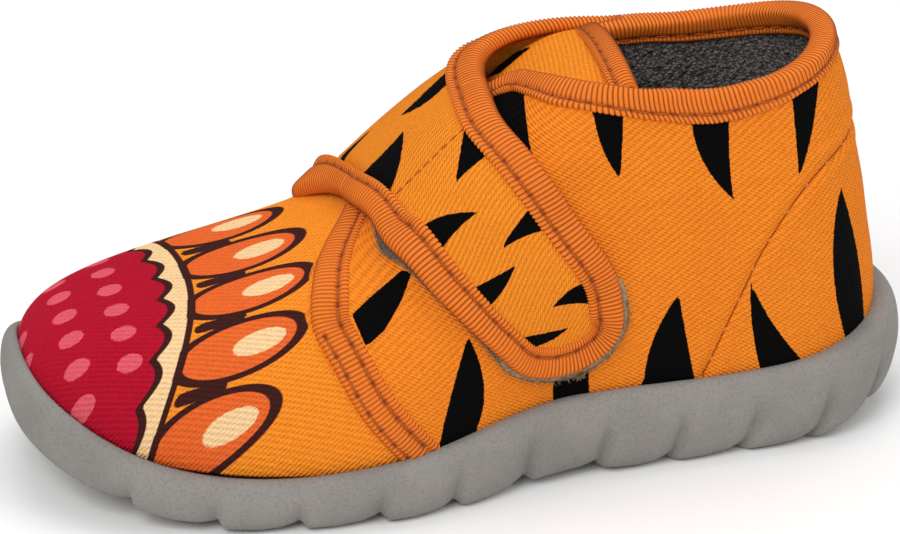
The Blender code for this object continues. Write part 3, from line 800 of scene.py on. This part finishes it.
def make_printed_twill(name):
    """The upper's cloth: striped quarters, the heel seam's line, and the printed vamp with its own weave."""
    made = new_material(name)
    weave = panel_weave(made, QUARTER_ACROSS)
    colour = twill_colour(made, weave, ORANGE, ORANGE_SHADE)
    off = calc(made, "ABSOLUTE", field(made, "seam"))
    colour = tint(made, colour, SEAM_SHADE, off, 0.32, 0.08, 0.85)
    colour = blend(made, fuzzy_edge(made, "dark"), colour, BLACK)
    cords = ridges(made, VAMP_CORDS, TWILL_PITCH)
    vamp_weave = twill_weave(made, cords, ridges(made, VAMP_FLOATS, FLOAT_PITCH))
    # the vamp's lighter orange is painted light
    vamp_colour = print_colour(made, twill_colour(made, vamp_weave, LIT_VAMP_ORANGE, LIT_VAMP_SHADE))
    front = step_up(made, field(made, "vamp"), -0.2, 0.2)
    change = calc(made, "SUBTRACT", vamp_weave, weave)
    height = calc(made, "MULTIPLY_ADD", front, change, weave)
    return set_surface(made, blend(made, front, colour, vamp_colour), height, TWILL_DEPTH)


def make_fleece(name):
    made = new_material(name)
    curls = add_node(made, "TexVoronoi", {"Vector": place(made), "Scale": 1500.0}, output="Distance")
    lint = noise(made, 1400.0, 4.0)
    height = calc(made, "MULTIPLY_ADD", lint, 0.6, calc(made, "MULTIPLY", curls, -1.0))
    # lighter on the curls' tops, with painted shade in the hollows between them
    return set_surface(made, tint(made, CHARCOAL, CHARCOAL_LIGHT, height, -0.5, 0.25), height, depth=0.42)


def make_ribbed(name):
    made = new_material(name)
    # painted shade in the grooves between the ribs
    colour = tint(made, TAPE_GROOVE_SHADE, TAPE_ORANGE, field(made, "rib"), 0.1, 0.85)
    colour = tint(made, colour, ORANGE_SHADE, noise(made, 60.0), 0.4, 0.7, 0.25)
    # painted shade in the stitch holes and along the stitch lines
    colour = blend(made, field(made, "hole_shade"), colour, STITCH_HOLE_SHADE)
    return set_surface(made, colour, noise(made, 2600.0), depth=0.05)


def make_rubber(name):
    made = new_material(name)
    grain = noise(made, 2300.0, 3.0)
    colour = tint(made, GREY, GREY_DARK, noise(made, 90.0, 3.0), 0.3, 0.75, 0.3)
    colour = tint(made, colour, GREY_DARK, grain, 0.45, 0.7, 0.4)
    return set_surface(made, colour, grain, depth=0.22)


def make_thread(name, colour):
    made = new_material(name)
    twist = ridges(made, (1.0, 0.4, 1.0), 0.35)
    # painted shade in the grooves of the twist
    return set_surface(made, tint(made, darker(colour, 0.55), colour, twist, -0.6, 0.4), twist, depth=0.05)


def make_hook(name):
    made = new_material(name)
    lint = noise(made, 1800.0, 3.0)
    colour = tint(made, darker(BEIGE, 0.7), BEIGE, lint, 0.3, 0.7)
    # Painted shade under the flap's front edge darkens the strip towards charcoal.
    colour = blend(made, calc(made, "MULTIPLY", field(made, "under_flap_shade"), 0.8), colour, CHARCOAL)
    return set_surface(made, colour, lint, depth=0.3)


# Sole and footbed


def lug_place(x):
    """Place along the lugs, counted from the toe."""
    along = (x - LUG_FIRST_X) / LUG_PITCH
    return np.where(along > HEEL_LUG, HEEL_LUG + (along - HEEL_LUG) * LUG_PITCH / HEEL_PITCH, along)


def on_lugs(along, values):
    """Values at the places that have grooves, and 0 elsewhere."""
    return np.where((along > TOE_LUG_PLAIN) & (along <= LUG_COUNT), values, 0.0)


def lug_wave(x):
    """Depth of the tread's grooves at x, from 1 at a groove's bottom to 0 on a lug's flat."""
    along = lug_place(x)
    return on_lugs(along, np.interp(along - np.floor(along), *LUG.T))


def wall_crease(x, share):
    """Depth of the soft upright creases above the grooves, stronger towards the heel."""
    along = lug_place(x)
    off = (along - np.round(along)) * LUG_PITCH
    grown = np.clip((share - CREASE_GROWS) / CREASE_GROWS, 0, 1)
    strength = CREASE_DEPTH * (CREASE_AT_TOE + (1 - CREASE_AT_TOE) * grown)
    return on_lugs(along, strength * bell(off, CREASE_WIDTH))


def tread_z(share):
    """Height of the sole's underside without its grooves: toe spring, arch and heel lift."""
    toe = TOE_SPRING * np.clip((SPRING_END - share) / SPRING_END, 0, 1) ** 2
    heel = HEEL_LIFT * np.clip((share - HEEL_START) / (1 - HEEL_START), 0, 1) ** 2
    arch = ARCH_RISE * np.sin(np.pi * np.clip((share - ARCH_START) / (ARCH_END - ARCH_START), 0, 1)) ** 2
    return toe + heel + arch


def rim_z(share):
    return natural_spline(RIM_SHARE, np.array(RIM_Z)[:, None], share)[..., 0]


def ring_turns(count):
    """Turns all round from the toe: the outer side to the heel, then the inner side back."""
    steps = 180 * np.linspace(0, 1, count)
    return np.concatenate([-steps, steps[-2:0:-1]])


def sole_side_ring(turns, inset, rise, groove):
    """One ring of the sole's outside, from the tread's edge to the rim."""
    half = SOLE_LENGTH / 2
    x, y, share = outline(turns, inset - half, half - inset, *(SOLE_HALF_WIDTHS - inset), SOLE_HEEL_AT)
    along = 2 * half * share - half - LUG_LEAN * rise
    wave = lug_wave(along)
    low = tread_z(share) + LUG_DEPTH * wave * (1 - rise) ** 2
    depth = groove * wave + wall_crease(along, share) * bell(rise - CREASE_AT, CREASE_REACH)
    run = np.stack([np.roll(side, -1) - np.roll(side, 1) for side in (x, y)], axis=-1)
    outward = unit(run)[:, ::-1] * (1, -1)
    x, y = np.stack([x, y]) - depth * outward.T
    return np.stack([x, y, low + (rim_z(share) - low) * rise], axis=-1)


def level_at_height(turns, height):
    """Level at which the last reaches a height, for each turn."""
    levels = np.linspace(0, 3, 61)
    heights = last_point(turns[:, None], levels[None])[..., 2]
    return np.array([np.interp(z, row, levels) for z, row in zip(height, heights)])


def across_ring(ring, columns):
    """Rows of points straight across a ring laid out as in ring_turns."""
    half = len(ring) // 2
    outer = ring[: half + 1]
    inner = np.concatenate([ring[:1], ring[:half - 1:-1]])
    share = np.linspace(0, 1, columns)[:, None]
    return outer[:, None] * (1 - share) + inner[:, None] * share


def make_outsole():
    turns = ring_turns(SOLE_POINTS)
    rings = [sole_side_ring(turns, *row) for row in along_table(SIDE_WALL, SOLE_RINGS).T]
    rim_level = level_at_height(turns, rings[-1][:, 2] - RIM_LOWER)
    for height, drop in RIM_LIP:
        rings.append(over_last(turns, rim_level - drop, height))
    wall = np.array(rings).reshape(-1, 3)
    tread, inner_floor = (across_ring(rings[i], TREAD_COLUMNS) for i in (0, -1))
    floor_faces = grid_faces(*tread.shape[:2]) + len(wall)
    wall_faces = grid_faces(len(rings), len(turns), wrap=True)
    faces = np.concatenate([wall_faces, floor_faces, floor_faces[:, ::-1] + tread.size // 3])
    points = np.concatenate([wall, tread.reshape(-1, 3), inner_floor.reshape(-1, 3)])
    add_piece("outsole_rubber", points, faces, [RUBBER], ["outsole"], merge=MERGE)


def make_footbed():
    turns = ring_turns(FOOTBED_POINTS)
    outward = unit(last_normal(turns, 0.0) * (1, 1, 0))
    base = across_ring(last_point(turns, 0.0) - outward * (WALL + FOOTBED_GAP), FOOTBED_COLUMNS)
    along, across = (np.linspace(-1, 1, count) for count in base.shape[:2])
    swell = (1 - across[None] ** FOOTBED_EDGES[0]) * (1 - along[:, None] ** FOOTBED_EDGES[1])
    nap = FOOTBED_NAP * RANDOM.normal(size=swell.shape) * swell
    top = base + (FOOTBED_THICK + FOOTBED_CROWN * swell + nap)[..., None] * UPRIGHT
    points, faces, _ = closed_sheet(top, base)
    piece = add_piece("footbed_fleece", points, faces, [FLEECE], ["insole"], merge=MERGE)


# Upper and lining


def fold_side(turn, level, fold):
    """How far a point lies behind a fold from the sole to the throat, in degrees of turn."""
    order = np.argsort(fold[:, 1])
    return np.abs(turn) - np.interp(level, fold[order, 1], np.abs(fold[order, 0]))


def behind_vamp(turn, level):
    """Millimetres behind the front edge of the quarters."""
    outer = fold_side(turn, level, VAMP_FOLD)
    inner = fold_side(turn, level, INNER_VAMP_FOLD)
    return DEGREE * np.select([level > VAMP_TOP, turn < 0], [FAR_BEHIND, outer], inner)


def seam_distance(turn, level):
    """Distance behind the heel seams, the inner one mirrored from the outer."""
    seam = along_table(HEEL_SEAM, SEAM_POINTS)
    away = distance_to_path(last_point(-np.abs(turn), level), last_point(*seam))
    return np.where(fold_side(turn, level, seam.T) > 0, away, -away)


def upper_height(turn, level):
    """Relief of the upper's face: the quarters' step, the heel seam and the hollow under the collar tape."""
    step = ease(0.0, QUARTER_STEP, behind_vamp(turn, level) / STEP_WIDTH)
    seam = seam_distance(turn, level)
    ridge = RIDGE_HEIGHT * bell(np.abs(seam) - RIDGE_AWAY, RIDGE_WIDTH)
    fading = ease(HOLLOW_DEPTH, 0.0, (np.abs(turn) - HOLLOW_FADES) / HOLLOW_FADE)
    hollow = np.where(np.abs(turn) > HOLLOW_START, fading, 0.0)
    height = step - SEAM_DEPTH * bell(seam, SEAM_WIDTH) + ridge
    return height - hollow * bell(level - HOLLOW_LEVEL, HOLLOW_REACH)


def cloth_places(points):
    """Distances in millimetres along the rows and up the columns of a grid of points."""
    steps, rises = (np.linalg.norm(np.diff(points, axis=axis), axis=-1) for axis in (1, 0))
    along = np.cumsum(np.pad(steps, ((0, 0), (1, 0))), axis=1)
    return {"round": along, "up": np.cumsum(np.pad(rises, ((1, 0), (0, 0))), axis=0)}


def print_border(across):
    return PRINT_X - (across / PRINT_BEND) ** 2


def print_cap(x, across):
    """How far a place lies inside the print's scalloped cap."""
    return print_border(across) + SCALLOP * np.abs(np.sin(np.pi * across / SCALLOP_WIDTH)) - x


def nearest(values, spacing):
    """Distance from the nearest of evenly spaced places."""
    return (values + spacing / 2) % spacing - spacing / 2


def oval(behind, beside, at, half_length, half_width, depth):
    """About how far a place lies inside an oval, which is as deep as given at its middle."""
    return depth * (1 - np.hypot((behind - at) / half_length, beside / half_width))


def print_dots(x, across):
    """How far a place lies inside a dot, for the dots that lie whole on the cap."""
    dot_x = nearest(x - DOT_X, DOT_SPACING)
    odd_row = np.round((x - DOT_X) / DOT_SPACING) % 2
    dot_across = nearest(across + 0.5 * DOT_SPACING * odd_row, DOT_SPACING)
    whole = print_cap(x - dot_x, across - dot_across) > DOT_CLEAR
    return np.where(whole, DOT_RADIUS - np.hypot(dot_x, dot_across), NO_DOT)


def toe_print(points):
    """Fields of the toe's print: a dotted cap, a pale band, and petals behind it with bars between them."""
    ridge = last_point(0.0, VAMP_LEVELS)
    x, y, z = np.moveaxis(points, -1, 0)
    sideways = y - foot_axis(x)
    drop = np.clip(np.interp(x, ridge[:, 0], ridge[:, 2]) - z, 0, None)
    across = np.sign(sideways) * (np.abs(sideways) + PRINT_DROP * drop)
    behind = x - print_border(across)
    band = BAND_WIDTH - behind
    beside_petal = nearest(across, PETAL_SPACING)
    beside_bar = nearest(across + PETAL_SPACING / 2, PETAL_SPACING)
    past_bar = np.clip(np.abs(behind - BAR_AT) - BAR_HALF, 0, None)
    return {
        "band": band,
        "cap": print_cap(x, across),
        "dots": print_dots(x, across),
        "petals": np.minimum(oval(behind, beside_petal, *PETAL), -band),
        "hearts": oval(behind, beside_petal, *HEART),
        "bars": BAR_RADIUS - np.hypot(past_bar, beside_bar),
    }


def top_edge(turns):
    """Level of the upper's top edge, a little under the collar's fold."""
    edge = np.concatenate([COLLAR_FOLD - (0, EDGE_UNDER_FOLD), THROAT])
    edge = edge[np.argsort(edge[:, 0])]
    return np.interp(np.where(turns > THROAT[0, 0], turns - 360, turns), *edge.T)


def wall_grid(columns, rows, bottom, gap):
    """Turn and level of a grid all round the upper, from a bottom level up to its top edge."""
    turns = np.linspace(-180, 180, columns)
    level = bottom + (top_edge(turns)[None] - gap) * np.linspace(0, 1, rows)[:, None]
    return np.broadcast_to(turns[None], level.shape), level


def with_lips(points, turn, level, height):
    """A wall's grid with a row added at its bottom and its top, turned in."""
    low, high = (over_last(turn[row], level[row], height[row] - WALL_LIP)[None] for row in (0, -1))
    sheet = np.concatenate([low, points, high])
    return sheet, grid_faces(*sheet.shape[:2])


def make_upper():
    turn, level = wall_grid(UPPER_POINTS, UPPER_ROWS, UPPER_BOTTOM, UPPER_BOTTOM)
    height = upper_height(turn, level)
    points = over_last(turn, level, height)
    seen = in_view(over_last(-np.abs(turn), level, height))
    block = np.where(turn < 0, inside_by(seen, VAMP_BLOCK), PLAIN)
    dark = np.maximum(stripes(seen, QUARTER_CLAWS, [QUARTER_BLOCK]), block)
    behind = behind_vamp(turn, level)
    along = cloth_places(points)["round"]
    fields = toe_print(points) | {
        "dark": np.where(behind < STRIPE_START, PLAIN, dark),
        "vamp": -behind,
        "seam": seam_distance(turn, level),
        "round": along - np.where(turn > 0, along[:, -1:], 0),
        "up": points[..., 2],
    }
    fields = {key: np.concatenate([values[:1], values, values[-1:]]) for key, values in fields.items()}
    sheet, faces = with_lips(points, turn, level, height)
    add_piece("upper_twill", sheet, faces, [PRINTED_TWILL], ["upper"], fields, merge=MERGE)


def make_lining():
    turn, level = wall_grid(LINING_POINTS, LINING_ROWS, LINING_BOTTOM, 2 * LINING_BOTTOM)
    nap = LINING_NAP * np.abs(RANDOM.normal(size=level.shape))
    nap[:, -1] = nap[:, 0]
    inside = over_last(turn, level, -WALL - nap)
    sheet, faces = with_lips(inside, turn, level, np.zeros_like(level))
    add_piece("lining_fleece", sheet, faces, [FLEECE], ["upper"], merge=MERGE)


# Tongue and flap


def tongue_rows(along, across, height):
    """Rows of points across the tongue at a height above its face, with its top edge's slant."""
    x, z, half, outer_drop, inner_drop = table_at(TONGUE, along)
    middle = np.stack([x, foot_axis(x), z], axis=-1)
    forward = unit(np.gradient(middle, axis=0))
    normal = unit(np.cross(forward, (0, 1, 0)))
    rise = height - np.where(across > 0, inner_drop[:, None], outer_drop[:, None]) * across**2
    points = middle[:, None] + (half[:, None] * across)[..., None] * np.array((0, 1, 0))
    points = points + rise[..., None] * normal[:, None]
    slant = ease(0, 1, (along - SKEW_START) / SKEW_LENGTH)[:, None]
    inner = (1 + across) / 2
    outer_x, inner_x, outer_z, inner_z = TONGUE_SKEW
    points[..., 0] += slant * (outer_x + (inner_x - outer_x) * inner)
    points[..., 1] += slant * np.where(across > 0, TONGUE_WIDER[1], -TONGUE_WIDER[0]) * across**2
    points[..., 2] += slant * (outer_z + (inner_z - outer_z) * inner)
    return points, forward, normal


def make_tongue():
    along = np.linspace(0, len(TONGUE) - 1, TONGUE_ROWS)
    across = np.linspace(1, -1, TONGUE_COLUMNS)
    swell = TONGUE_CROWN * (1 - across**TONGUE_EDGE)[None] * np.ones((TONGUE_ROWS, 1))
    top, forward, normal = tongue_rows(along, across, swell - TONGUE_CROWN)
    nap = TONGUE_NAP * np.abs(RANDOM.normal(size=swell.shape))
    depth = -TONGUE_THICK + TONGUE_BACK - TONGUE_BACK * swell - nap
    points, faces, below = closed_sheet(top, tongue_rows(along, across, depth)[0])
    # the black wedge is partly a stripe and partly painted shadow of the gap under the flap
    fields = on_both({"dark": inside_by(in_view(top), TONGUE_STRIPE_AND_SHADOW)} | cloth_places(top))
    cloths = [FLAP_TWILL, FLEECE]
    piece = add_piece("tongue_pad", points, faces, cloths, ["tongue"], fields, below)
    make_tongue_tape(top[-1], forward[-1], normal[-1])


def make_tongue_tape(edge, forward, up):
    """The tape over the tongue's top edge."""
    edge = edge + TONGUE_PROUD * up
    columns, places = even_path(list(edge.T), edge, RIB_PITCH / RIB_STEPS)
    path = np.stack(columns, axis=-1)

    def put(shift, rise):
        return path[:, None] - shift[..., None] * forward + rise[..., None] * up

    make_tape(
        "tongue_tape", ["tongue_binding"], places, put,
        TONGUE_FACE, TONGUE_TAPE_BACK, TONGUE_THICK - TONGUE_TIGHT, [FACE_ROW],
    )


def flap_place(along, across):
    """Turn, level and height of the top face on the flap.

    Along counts the table's rows, the last 1 being the rounded tip, and across runs from -1 at the front fold
    to 1 at the rear fold.
    """
    columns = table_at(FLAP, np.minimum(along, FLAP_BODY))
    front_turn, front_level, rear_turn, rear_level, front_top, rear_top, crown = columns
    bend = np.clip(along - FLAP_BODY, 0, 1) * np.pi / 2
    turn = (front_turn + rear_turn) / 2 + FLAP_TIP[0] * np.sin(bend)
    level = (front_level + rear_level) / 2 + FLAP_TIP[1] * np.sin(bend)
    turn = turn + across * np.cos(bend) * (rear_turn - front_turn) / 2
    level = level + across * np.cos(bend) * (rear_level - front_level) / 2
    top = front_top + (rear_top - front_top) * (across + 1) / 2
    return turn, level, top + crown * (1 - np.abs(across) ** FLAP_CROWN)


def flap_rows(start, rows, tip_rows, end):
    """Places along the flap from a start to an end in its rounded tip."""
    tip = FLAP_BODY + np.linspace(0, end, tip_rows)[1:]
    return np.concatenate([np.linspace(start, FLAP_BODY, rows), tip])


def towards_edge(across, amount, start, width):
    """A change that grows towards the flap's front and rear edges."""
    return ease(0.0, amount, (np.abs(across) - start) / width)


def make_flap():
    along = flap_rows(0, FLAP_ROWS, FLAP_TIP_ROWS, FLAP_END)
    across = np.linspace(FLAP_EDGE, -FLAP_EDGE, FLAP_COLUMNS)
    turn, level, top = flap_place(along[:, None], across[None])
    top = top - towards_edge(across, *FLAP_SINK)
    points = over_last(turn, level, top)
    under = over_last(turn, level, top - FLAP_THICK + towards_edge(across, *FLAP_THIN))
    dark = np.where(turn < INNER_FROM, stripes(in_view(points), FLAP_CLAWS), PLAIN)
    sketch = np.stack([turn, level * LEVEL_PIXELS], axis=-1)
    dark = np.maximum(dark, INNER_SCALE * stripes(sketch, INNER_FLAP_CLAWS * (1, LEVEL_PIXELS)))
    sheet, faces, below = closed_sheet(points, under)
    quads = (len(along) - 1) * (len(across) - 1)
    below[quads : 2 * quads] = np.tile(across[:-1] < FLAP_FACING, len(along) - 1)
    fields = on_both(cloth_places(points))
    fields["dark"] = np.concatenate([dark, np.full_like(dark, PLAIN)])
    cloths = [FLAP_TWILL, FLEECE]
    add_piece("flap_twill", sheet, faces, cloths, ["closure_flap"], fields, below)


# Tapes and stitches


def tape_side(table, width, drop):
    """Outline of a tape's face or back, as distance from the fold and rise over the wall's top face."""
    share, offset, rise = table.T
    return np.stack([share * width + offset, rise - drop], axis=-1)


def tape_section(face, back, thick):
    """Outline of a tape folded over an edge, the outward direction there, and how much the ribs show."""
    corners = np.concatenate([tape_side(TAPE_TOP, face, 0.0), tape_side(TAPE_UNDER, back, thick)])
    inner_back = tape_side(TAPE_INSIDE[::-1], back, thick - TAPE_GAP)
    inside = np.concatenate([inner_back, tape_side(TAPE_INSIDE, face, TAPE_GAP)])
    lengths = path_lengths(corners)
    curve = natural_spline(lengths, corners, np.linspace(0, lengths[-1], SECTION_POINTS))
    run = unit(np.gradient(curve, axis=0))
    outward = np.concatenate([np.stack([-run[:, 1], run[:, 0]], axis=-1), np.zeros_like(inside)])
    ribbed = np.concatenate([np.ones(len(curve)), np.zeros(len(inside))])
    return np.concatenate([curve, inside]), outward, ribbed


def make_tape(name, nodes, places, put, face, back, thick, rows):
    """A ribbed tape with rows of stitches.

    Put gives the points at distances from the fold and rises, for each place along the tape. A row has its
    share of the tape's width, 1 on the face or -1 on the back, and the share of the tape at which it starts.
    """
    section, outward, ribbed = tape_section(face, back, thick)
    cord = np.abs(np.sin(np.pi * places / RIB_PITCH))
    wave = (cord - RIB_MEAN)[:, None]
    swell = RIB_HEIGHT * wave * ribbed
    on_face = section[:, 1] > -thick / 2
    free_edge = (section[:, 0] > face - EDGE_WIDTH) & on_face
    shift = section[:, 0] + swell * outward[:, 0] + EDGE_WAVE * wave * free_edge
    rise = section[:, 1] + swell * outward[:, 1]
    hole_shades = np.zeros_like(rise)
    length, gap, _ = STITCH
    for number, (share, side, start) in enumerate(rows):
        first = int(start * len(places))
        at = share * (face if side > 0 else back)
        surface = STITCH_FACE if side > 0 else STITCH_BACK - thick
        line = np.ones((len(places), 1))
        path, above = (put(at * line, z * line)[first:, 0] for z in (surface, surface + side))
        phase = (path_lengths(path) - gap) % (length + gap)
        hole_shade = bell(phase - length - gap / 2, HOLE_LENGTH)[:, None]
        mine = ribbed * (on_face == (side > 0))
        rise[first:] -= side * STITCH_SUNK * bell(section[:, 0] - at, SUNK_WIDTH) * mine
        # painted shade along the row, darkest at the stitch holes
        dark = bell(section[:, 0] - at, HOLE_WIDTH) * mine * (HOLE_BETWEEN + (1 - HOLE_BETWEEN) * hole_shade)
        hole_shades[first:] = np.maximum(hole_shades[first:], dark)
        add_stitches(f"{name}_stitches_{number + 1}", path, above - path, TAPE_THREAD, *STITCH)
    rings, faces = capped_rings(put(shift, rise))
    fields = {"rib": cord[:, None] * np.ones_like(rise), "hole_shade": hole_shades}
    add_piece(name, rings, faces, [RIBBED], nodes, fields)


def add_stitches(name, path, up, thread, length, gap, radius):
    """A row of short thread loops along a path, pulled in at their ends."""
    lengths = path_lengths(path)
    starts = np.arange(gap, lengths[-1] - length, length + gap)
    share = np.linspace(0, 1, STITCH_POINTS)
    at = starts[:, None] + share * length
    spines, lift = (
        np.stack([np.interp(at, lengths, column) for column in rows.T], axis=-1) for rows in (path, unit(up))
    )
    side = np.cross(unit(np.gradient(spines, axis=1)), lift)
    arch = np.sqrt(np.sin(np.pi * share))
    spines = spines + lift * (STITCH_RISE * radius * (arch - 0.5))[:, None]
    add_tubes(name, spines, lift, side, radius * (0.5 + 0.5 * arch), STITCH_SIDES, thread)


def tape_over_last(name, nodes, turn, level, height, height_in, side, face, back, thick, rows, widen=1.0):
    """A tape folded over a line on the last; side is 1 where the cloth lies to the left of the line's run."""
    path = over_last(turn, level, height)
    widen = np.broadcast_to(widen, turn.shape)
    columns, places = even_path((turn, level, height, height_in, widen), path, RIB_PITCH / RIB_STEPS)
    turn, level, height, height_in, widen = columns
    turn, level = soften(turn, PATH_SOFT), soften(level, PATH_SOFT)
    run = np.gradient(last_point(turn, level), axis=0)
    inward = side * unit(np.cross(last_normal(turn, level), run))
    turn_step, level_step = (soften(step, STEP_SOFT) for step in step_on_last(turn, level, inward))

    def put(shift, rise):
        reach = np.clip(shift / face, 0, 1)
        base = height[:, None] + (height_in - height)[:, None] * reach
        shift = shift * widen[:, None]
        turns = turn[:, None] + turn_step[:, None] * shift
        levels = level[:, None] + level_step[:, None] * shift
        return over_last(turns, levels, base + rise)

    make_tape(name, nodes, places, put, face, back, thick, rows)


def make_collar_tape():
    turn, level = along_table(COLLAR_FOLD, COLLAR_POINTS)
    proud = np.full_like(turn, COLLAR_PROUD)
    narrow = np.interp(turn, COLLAR_NARROW_TURN, COLLAR_NARROW)
    tape_over_last(
        "collar_tape", ["collar_binding"], turn, level, proud, proud, -1,
        TAPE_FACE, TAPE_BACK, WALL + COLLAR_ROOM, [FACE_ROW, BACK_ROW], narrow,
    )


def make_flap_tape():
    along = np.linspace(0, FLAP_BODY, FOLD_POINTS)
    angle = np.linspace(0, np.pi, TIP_POINTS)[1:-1]
    rear, rear_in = (flap_place(along, np.full(FOLD_POINTS, across)) for across in (1.0, 0.5))
    front, front_in = (flap_place(along[::-1], np.full(FOLD_POINTS, across)) for across in (-1.0, -0.5))
    tip_along = FLAP_BODY + np.minimum(angle, np.pi - angle) / (np.pi / 2)
    tip = flap_place(tip_along, np.sign(np.pi / 2 - angle))
    low = np.full(SHORT_POINTS, TAPE_LOW)
    inner = (*along_table(INNER_FRONT_FOLD, SHORT_POINTS), low)
    turn, level, height = (np.concatenate(parts) for parts in zip(rear, tip, front, inner))
    height_in = np.concatenate([rear_in[2], tip[2] + TIP_RISE, front_in[2], low])
    narrow = np.interp(along[::-1], FRONT_NARROW_AT, FRONT_NARROW)
    to_front = np.linspace(1.0, narrow[0], len(angle))
    widen = np.concatenate([np.ones(FOLD_POINTS), to_front, narrow, np.full(SHORT_POINTS, narrow[-1])])
    tape_over_last(
        "flap_tape", ["flap_binding"], turn, level, height, height_in, -1,
        TAPE_FACE, FLAP_TAPE_BACK, FLAP_THICK, [FACE_ROW], widen,
    )


def make_vamp_tape():
    turn, level = along_table(VAMP_FOLD, FOLD_POINTS)
    low = np.full(FOLD_POINTS, TAPE_LOW)
    tape_over_last(
        "vamp_tape", ["vamp_binding"], turn, level, low, low, 1,
        TAPE_FACE, VAMP_TAPE_BACK, VAMP_TAPE_THICK, [FACE_ROW, VAMP_SECOND_ROW],
    )


def make_hook_strip():
    along = flap_rows(HOOK_FRONT[0, 0], HOOK_ROWS, HOOK_TIP_ROWS, HOOK_END)
    rear = ease(*HOOK_REAR, (along - HOOK_REAR_AT) / HOOK_CHANGE)[:, None]
    front = soften(np.interp(along, *HOOK_FRONT.T), HOOK_SOFT)[:, None]
    across = rear + (front - rear) * np.linspace(0, 1, HOOK_COLUMNS)
    turn, level, _ = flap_place(along[:, None], across)
    beyond = ease(0, 1, along - FLAP_BODY)[:, None]
    turn, level = turn - HOOK_BEYOND[0] * beyond, level - HOOK_BEYOND[1] * beyond
    nap = HOOK_NAP * np.abs(RANDOM.normal(size=turn.shape))
    top = over_last(turn, level, HOOK_TOP + nap)
    points, faces, _ = closed_sheet(top, over_last(turn, level, np.full(turn.shape, HOOK_UNDER)))
    # painted shade under the flap, fading out along the strip
    under_flap_shade = np.broadcast_to(ease(1.0, 0.0, (along - HOOK_SHADE_END) / HOOK_CHANGE)[:, None], turn.shape)
    fields = on_both({"under_flap_shade": under_flap_shade})
    add_piece("hook_strip", points, faces, [HOOK], ["hook_tape"], fields)
    add_fuzz(np.concatenate([top[:, -1], top[-1, ::-1], top[:-FUZZ_REAR:-1, 0]]), FUZZ_COUNT)


def add_fuzz(edge, count):
    """Short loose fibres along the hook strip's free edge."""
    at = np.sort(RANDOM.uniform(0, len(edge) - 1.01, count))
    first = at.astype(int)
    root = edge[first] + (edge[first + 1] - edge[first]) * (at - first)[:, None]
    outward = unit(RANDOM.normal(size=(count, 3)) * FUZZ_SPREAD + FUZZ_LEAN)
    length = RANDOM.uniform(*FUZZ_LENGTH, count)[:, None]
    curl = unit(RANDOM.normal(size=(count, 3))) * FUZZ_CURL
    share = np.linspace(0, 1, 4)[:, None]
    spines = root[:, None] + (outward * length)[:, None] * share + curl[:, None] * share**2
    side = unit(np.cross(outward, FUZZ_ASIDE))[:, None]
    over = np.cross(outward[:, None], side)
    radii = FUZZ_RADIUS * (1 - FUZZ_TAPER * share[:, 0])
    add_tubes("hook_fuzz", spines, side, over, radii, 3, HOOK, ["hook_tape"])


def make_seam_stitches():
    for side, name in ((1, "outer"), (-1, "inner")):
        turn, level = along_table(HEEL_SEAM, SEAM_POINTS)
        turn = side * turn
        path = over_last(turn, level, upper_height(turn, level))
        add_stitches("heel_seam_" + name, path, last_normal(turn, level), SEAM, *SEAM_STITCH)
    start, end = CROSS_STITCH
    turn, level, top = flap_place(*(start + (end - start) * np.linspace(0, 1, 30)[:, None]).T)
    path = over_last(turn, level, top)
    add_stitches("cross_stitch", path, last_normal(turn, level), TAPE_THREAD, *CROSS_STITCH_SIZE)


# Camera, light and floor


def add_camera():
    data = bpy.data.cameras.new("camera")
    data.sensor_width = SENSOR
    data.lens = FOCAL_PIXELS / VIEW_WIDTH * SENSOR
    data.clip_start, data.clip_end = 0.01, 20.0
    camera = bpy.data.objects.new("camera", data)
    turned = Matrix(camera_axes().T.tolist()).to_4x4()
    camera.matrix_world = Matrix.Translation((EYE - (0, CENTRE_Y, 0)) * MM) @ turned
    bpy.context.scene.collection.objects.link(camera)
    bpy.context.scene.camera = camera


def add_light(name, position, size, power):
    """A square soft light that faces the shoe."""
    data = bpy.data.lights.new(name, "AREA")
    data.size = size
    data.energy = power
    light = bpy.data.objects.new(name, data)
    light.location = position
    light.rotation_euler = (Vector((0, 0, 0.03)) - Vector(position)).to_track_quat("-Z", "Y").to_euler()
    bpy.context.scene.collection.objects.link(light)


def add_floor():
    mesh = bpy.data.meshes.new("floor")
    corners = [(FLOOR_HALF * x, FLOOR_HALF * y, 0) for x, y in ((-1, -1), (1, -1), (1, 1), (-1, 1))]
    mesh.from_pydata(corners, [], [(0, 1, 2, 3)])
    pale = new_material("pale_floor")
    cloud = noise(pale, 2.0)
    set_surface(pale, blend(pale, cloud, FLOOR_DARK, FLOOR_LIGHT), cloud, depth=0.01)
    mesh.materials.append(pale)
    floor = bpy.data.objects.new("floor", mesh)
    bpy.context.scene.collection.objects.link(floor)


def add_studio():
    scene = bpy.context.scene
    scene.view_settings.view_transform = "Standard"
    world = bpy.data.worlds.new("studio")
    world.use_nodes = True
    world.node_tree.nodes["Background"].inputs["Color"].default_value = (1, 1, 1, 1)
    world.node_tree.nodes["Background"].inputs["Strength"].default_value = WORLD_STRENGTH
    scene.world = world
    add_floor()
    for name, settings in LIGHTS.items():
        add_light(name, *settings)


PRINTED_TWILL = make_printed_twill("printed_twill")
# the flap's lighter orange is painted light
FLAP_TWILL = make_twill("flap_twill", FLAP_ACROSS, LIT_FLAP_ORANGE, LIT_FLAP_SHADE)
FLEECE = make_fleece("charcoal_fleece")
RIBBED = make_ribbed("ribbed_tape")
RUBBER = make_rubber("sole_rubber")
TAPE_THREAD = make_thread("brown_thread", THREAD)
SEAM = make_thread("pale_thread", SEAM_THREAD)
HOOK = make_hook("hook_tape")

add_camera()
add_studio()
make_outsole()
make_footbed()
make_upper()
make_lining()
make_tongue()
make_flap()
make_collar_tape()
make_flap_tape()
make_vamp_tape()
make_hook_strip()
make_seam_stitches()
